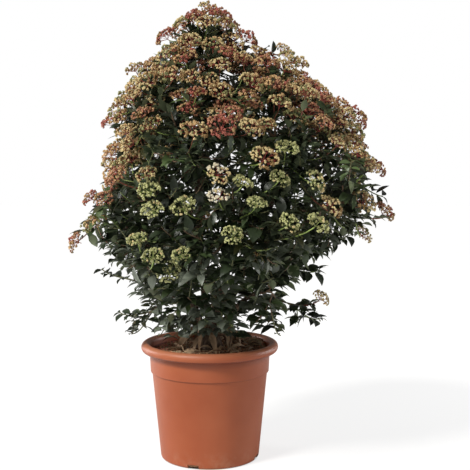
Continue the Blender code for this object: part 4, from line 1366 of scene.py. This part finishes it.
def headPlans():  # buds as rows of place, way, tuft and size, and stalk lines, for heads that face +z
    plans = []
    for number in range(head["patterns"]):
        draw = random.Random(f"head {number}")
        hub = up * head["hub"]
        buds, stalks = [], [([Vector((0, 0, 0)), hub], [head["stalk"]] * 2)]
        for ray in range(head["rays"]):
            lean = 0 if ray == 0 else math.radians(head["spread"] * draw.uniform(*head["spreadVary"]))
            turn = math.tau * ray / (head["rays"] - 1) + around(draw, head["rayTurn"])
            way = flatWay(turn) * math.sin(lean) + up * math.cos(lean)
            end = hub + way * head["ray"] * draw.uniform(*head["rayVary"]) * (1 if ray else head["middle"])
            stalks.append(([hub, end], [head["rayThick"]] * 2))
            aims = fanned(draw, (way + up * head["rayLift"]).normalized(), head["tufts"], head["tuftFan"])
            for tuft, aim in enumerate(aims, ray * head["tufts"]):
                point = end + aim * head["tuft"] * draw.uniform(*head["tuftVary"])
                stalks.append(([end, point], [head["tuftThick"]] * 2))
                for budWay in fanned(draw, aim, head["buds"], head["budFan"]):
                    buds.append((point, budWay, tuft, draw.uniform(*head["bud"])))
        plans.append((buds, stalks))
    return plans


def intoBox(points):  # how far a group of points has to move to lie inside the solids' box
    rows = np.array([tuple(point) for point in points])
    low, high = np.array(cadLow) + head["room"], np.array(cadHigh) - head["room"]
    return Vector(np.maximum(low - rows.min(0), 0) + np.minimum(high - rows.max(0), 0))


def tuftTones(draw, shares):  # most tufts have the colour of their ray
    tones = []
    for _ in range(head["rays"]):
        main = pickOne(shares, draw)
        for _ in range(head["tufts"]):
            tones.append(pickOne(shares, draw) if draw.random() < head["mixed"] else main)
    return tones


def makeHeads():
    draw, plans = random.Random("buds"), headPlans()
    spots = {tone: [] for tone in head["tones"]}
    stalks = {tone: [] for tone in head["stalkTones"]}
    for one in flowering:
        buds, lines = plans[draw.randrange(len(plans))]
        size = draw.uniform(*head["size"]) * (head["limeSize"] if one["head"] == "lime" else 1)
        outShare = min(1, one["tip"].xy.length / head["outFrom"])
        facing = one["endWay"] * head["onward"] + one["out"] * outShare * head["faceOut"]
        facing = (facing + up * draw.uniform(*head["faceUp"])).normalized()
        turn = facing.to_track_quat("Z", "Y").to_matrix() @ Matrix.Rotation(draw.uniform(0, math.tau), 3, "Z")
        tones = tuftTones(draw, head["kinds"][one["head"]])
        foot = one["tip"] - facing * head["sunk"]
        placed = []
        for here, way, tuft, width in buds:
            placed.append((foot + turn @ here * size, turn @ way, tuft, width * size))
        shift = intoBox([here + way * width * 1.2 for here, way, _, width in placed])
        for here, way, tuft, width in placed:
            euler = (0, math.acos(max(-1, min(1, way.z))), math.atan2(way.y, way.x))
            opened = tones[tuft] == "white"
            scale = (width * (head["open"] if opened else 1),) * 3
            spots[tones[tuft]].append((here + shift, euler, scale, int(opened)))
        stalkTone = "green" if one["head"] == "lime" else "red"
        for line, radii in lines:
            stalks[stalkTone].append(([foot + shift + turn @ point * size for point in line], radii))
    shapes = shapeSet("bud", [budShape(4), flowerShape()])
    for tone, rows in spots.items():
        material = plainFinish("buds " + tone, head["tones"][tone], 0.5, 0.2, 60)
        place(shapesOnPoints("buds_" + tone, rows, shapes, material), "leaves")
    for tone, rows in stalks.items():
        material = plainFinish("stalks " + tone, head["stalkTones"][tone], 0.5, 0.2)
        place(tubes("stalks_" + tone, rows, 3, material), "leaves")


makeHeads()
print("flower heads ready,", sum(triangles.values()), "triangles in all")
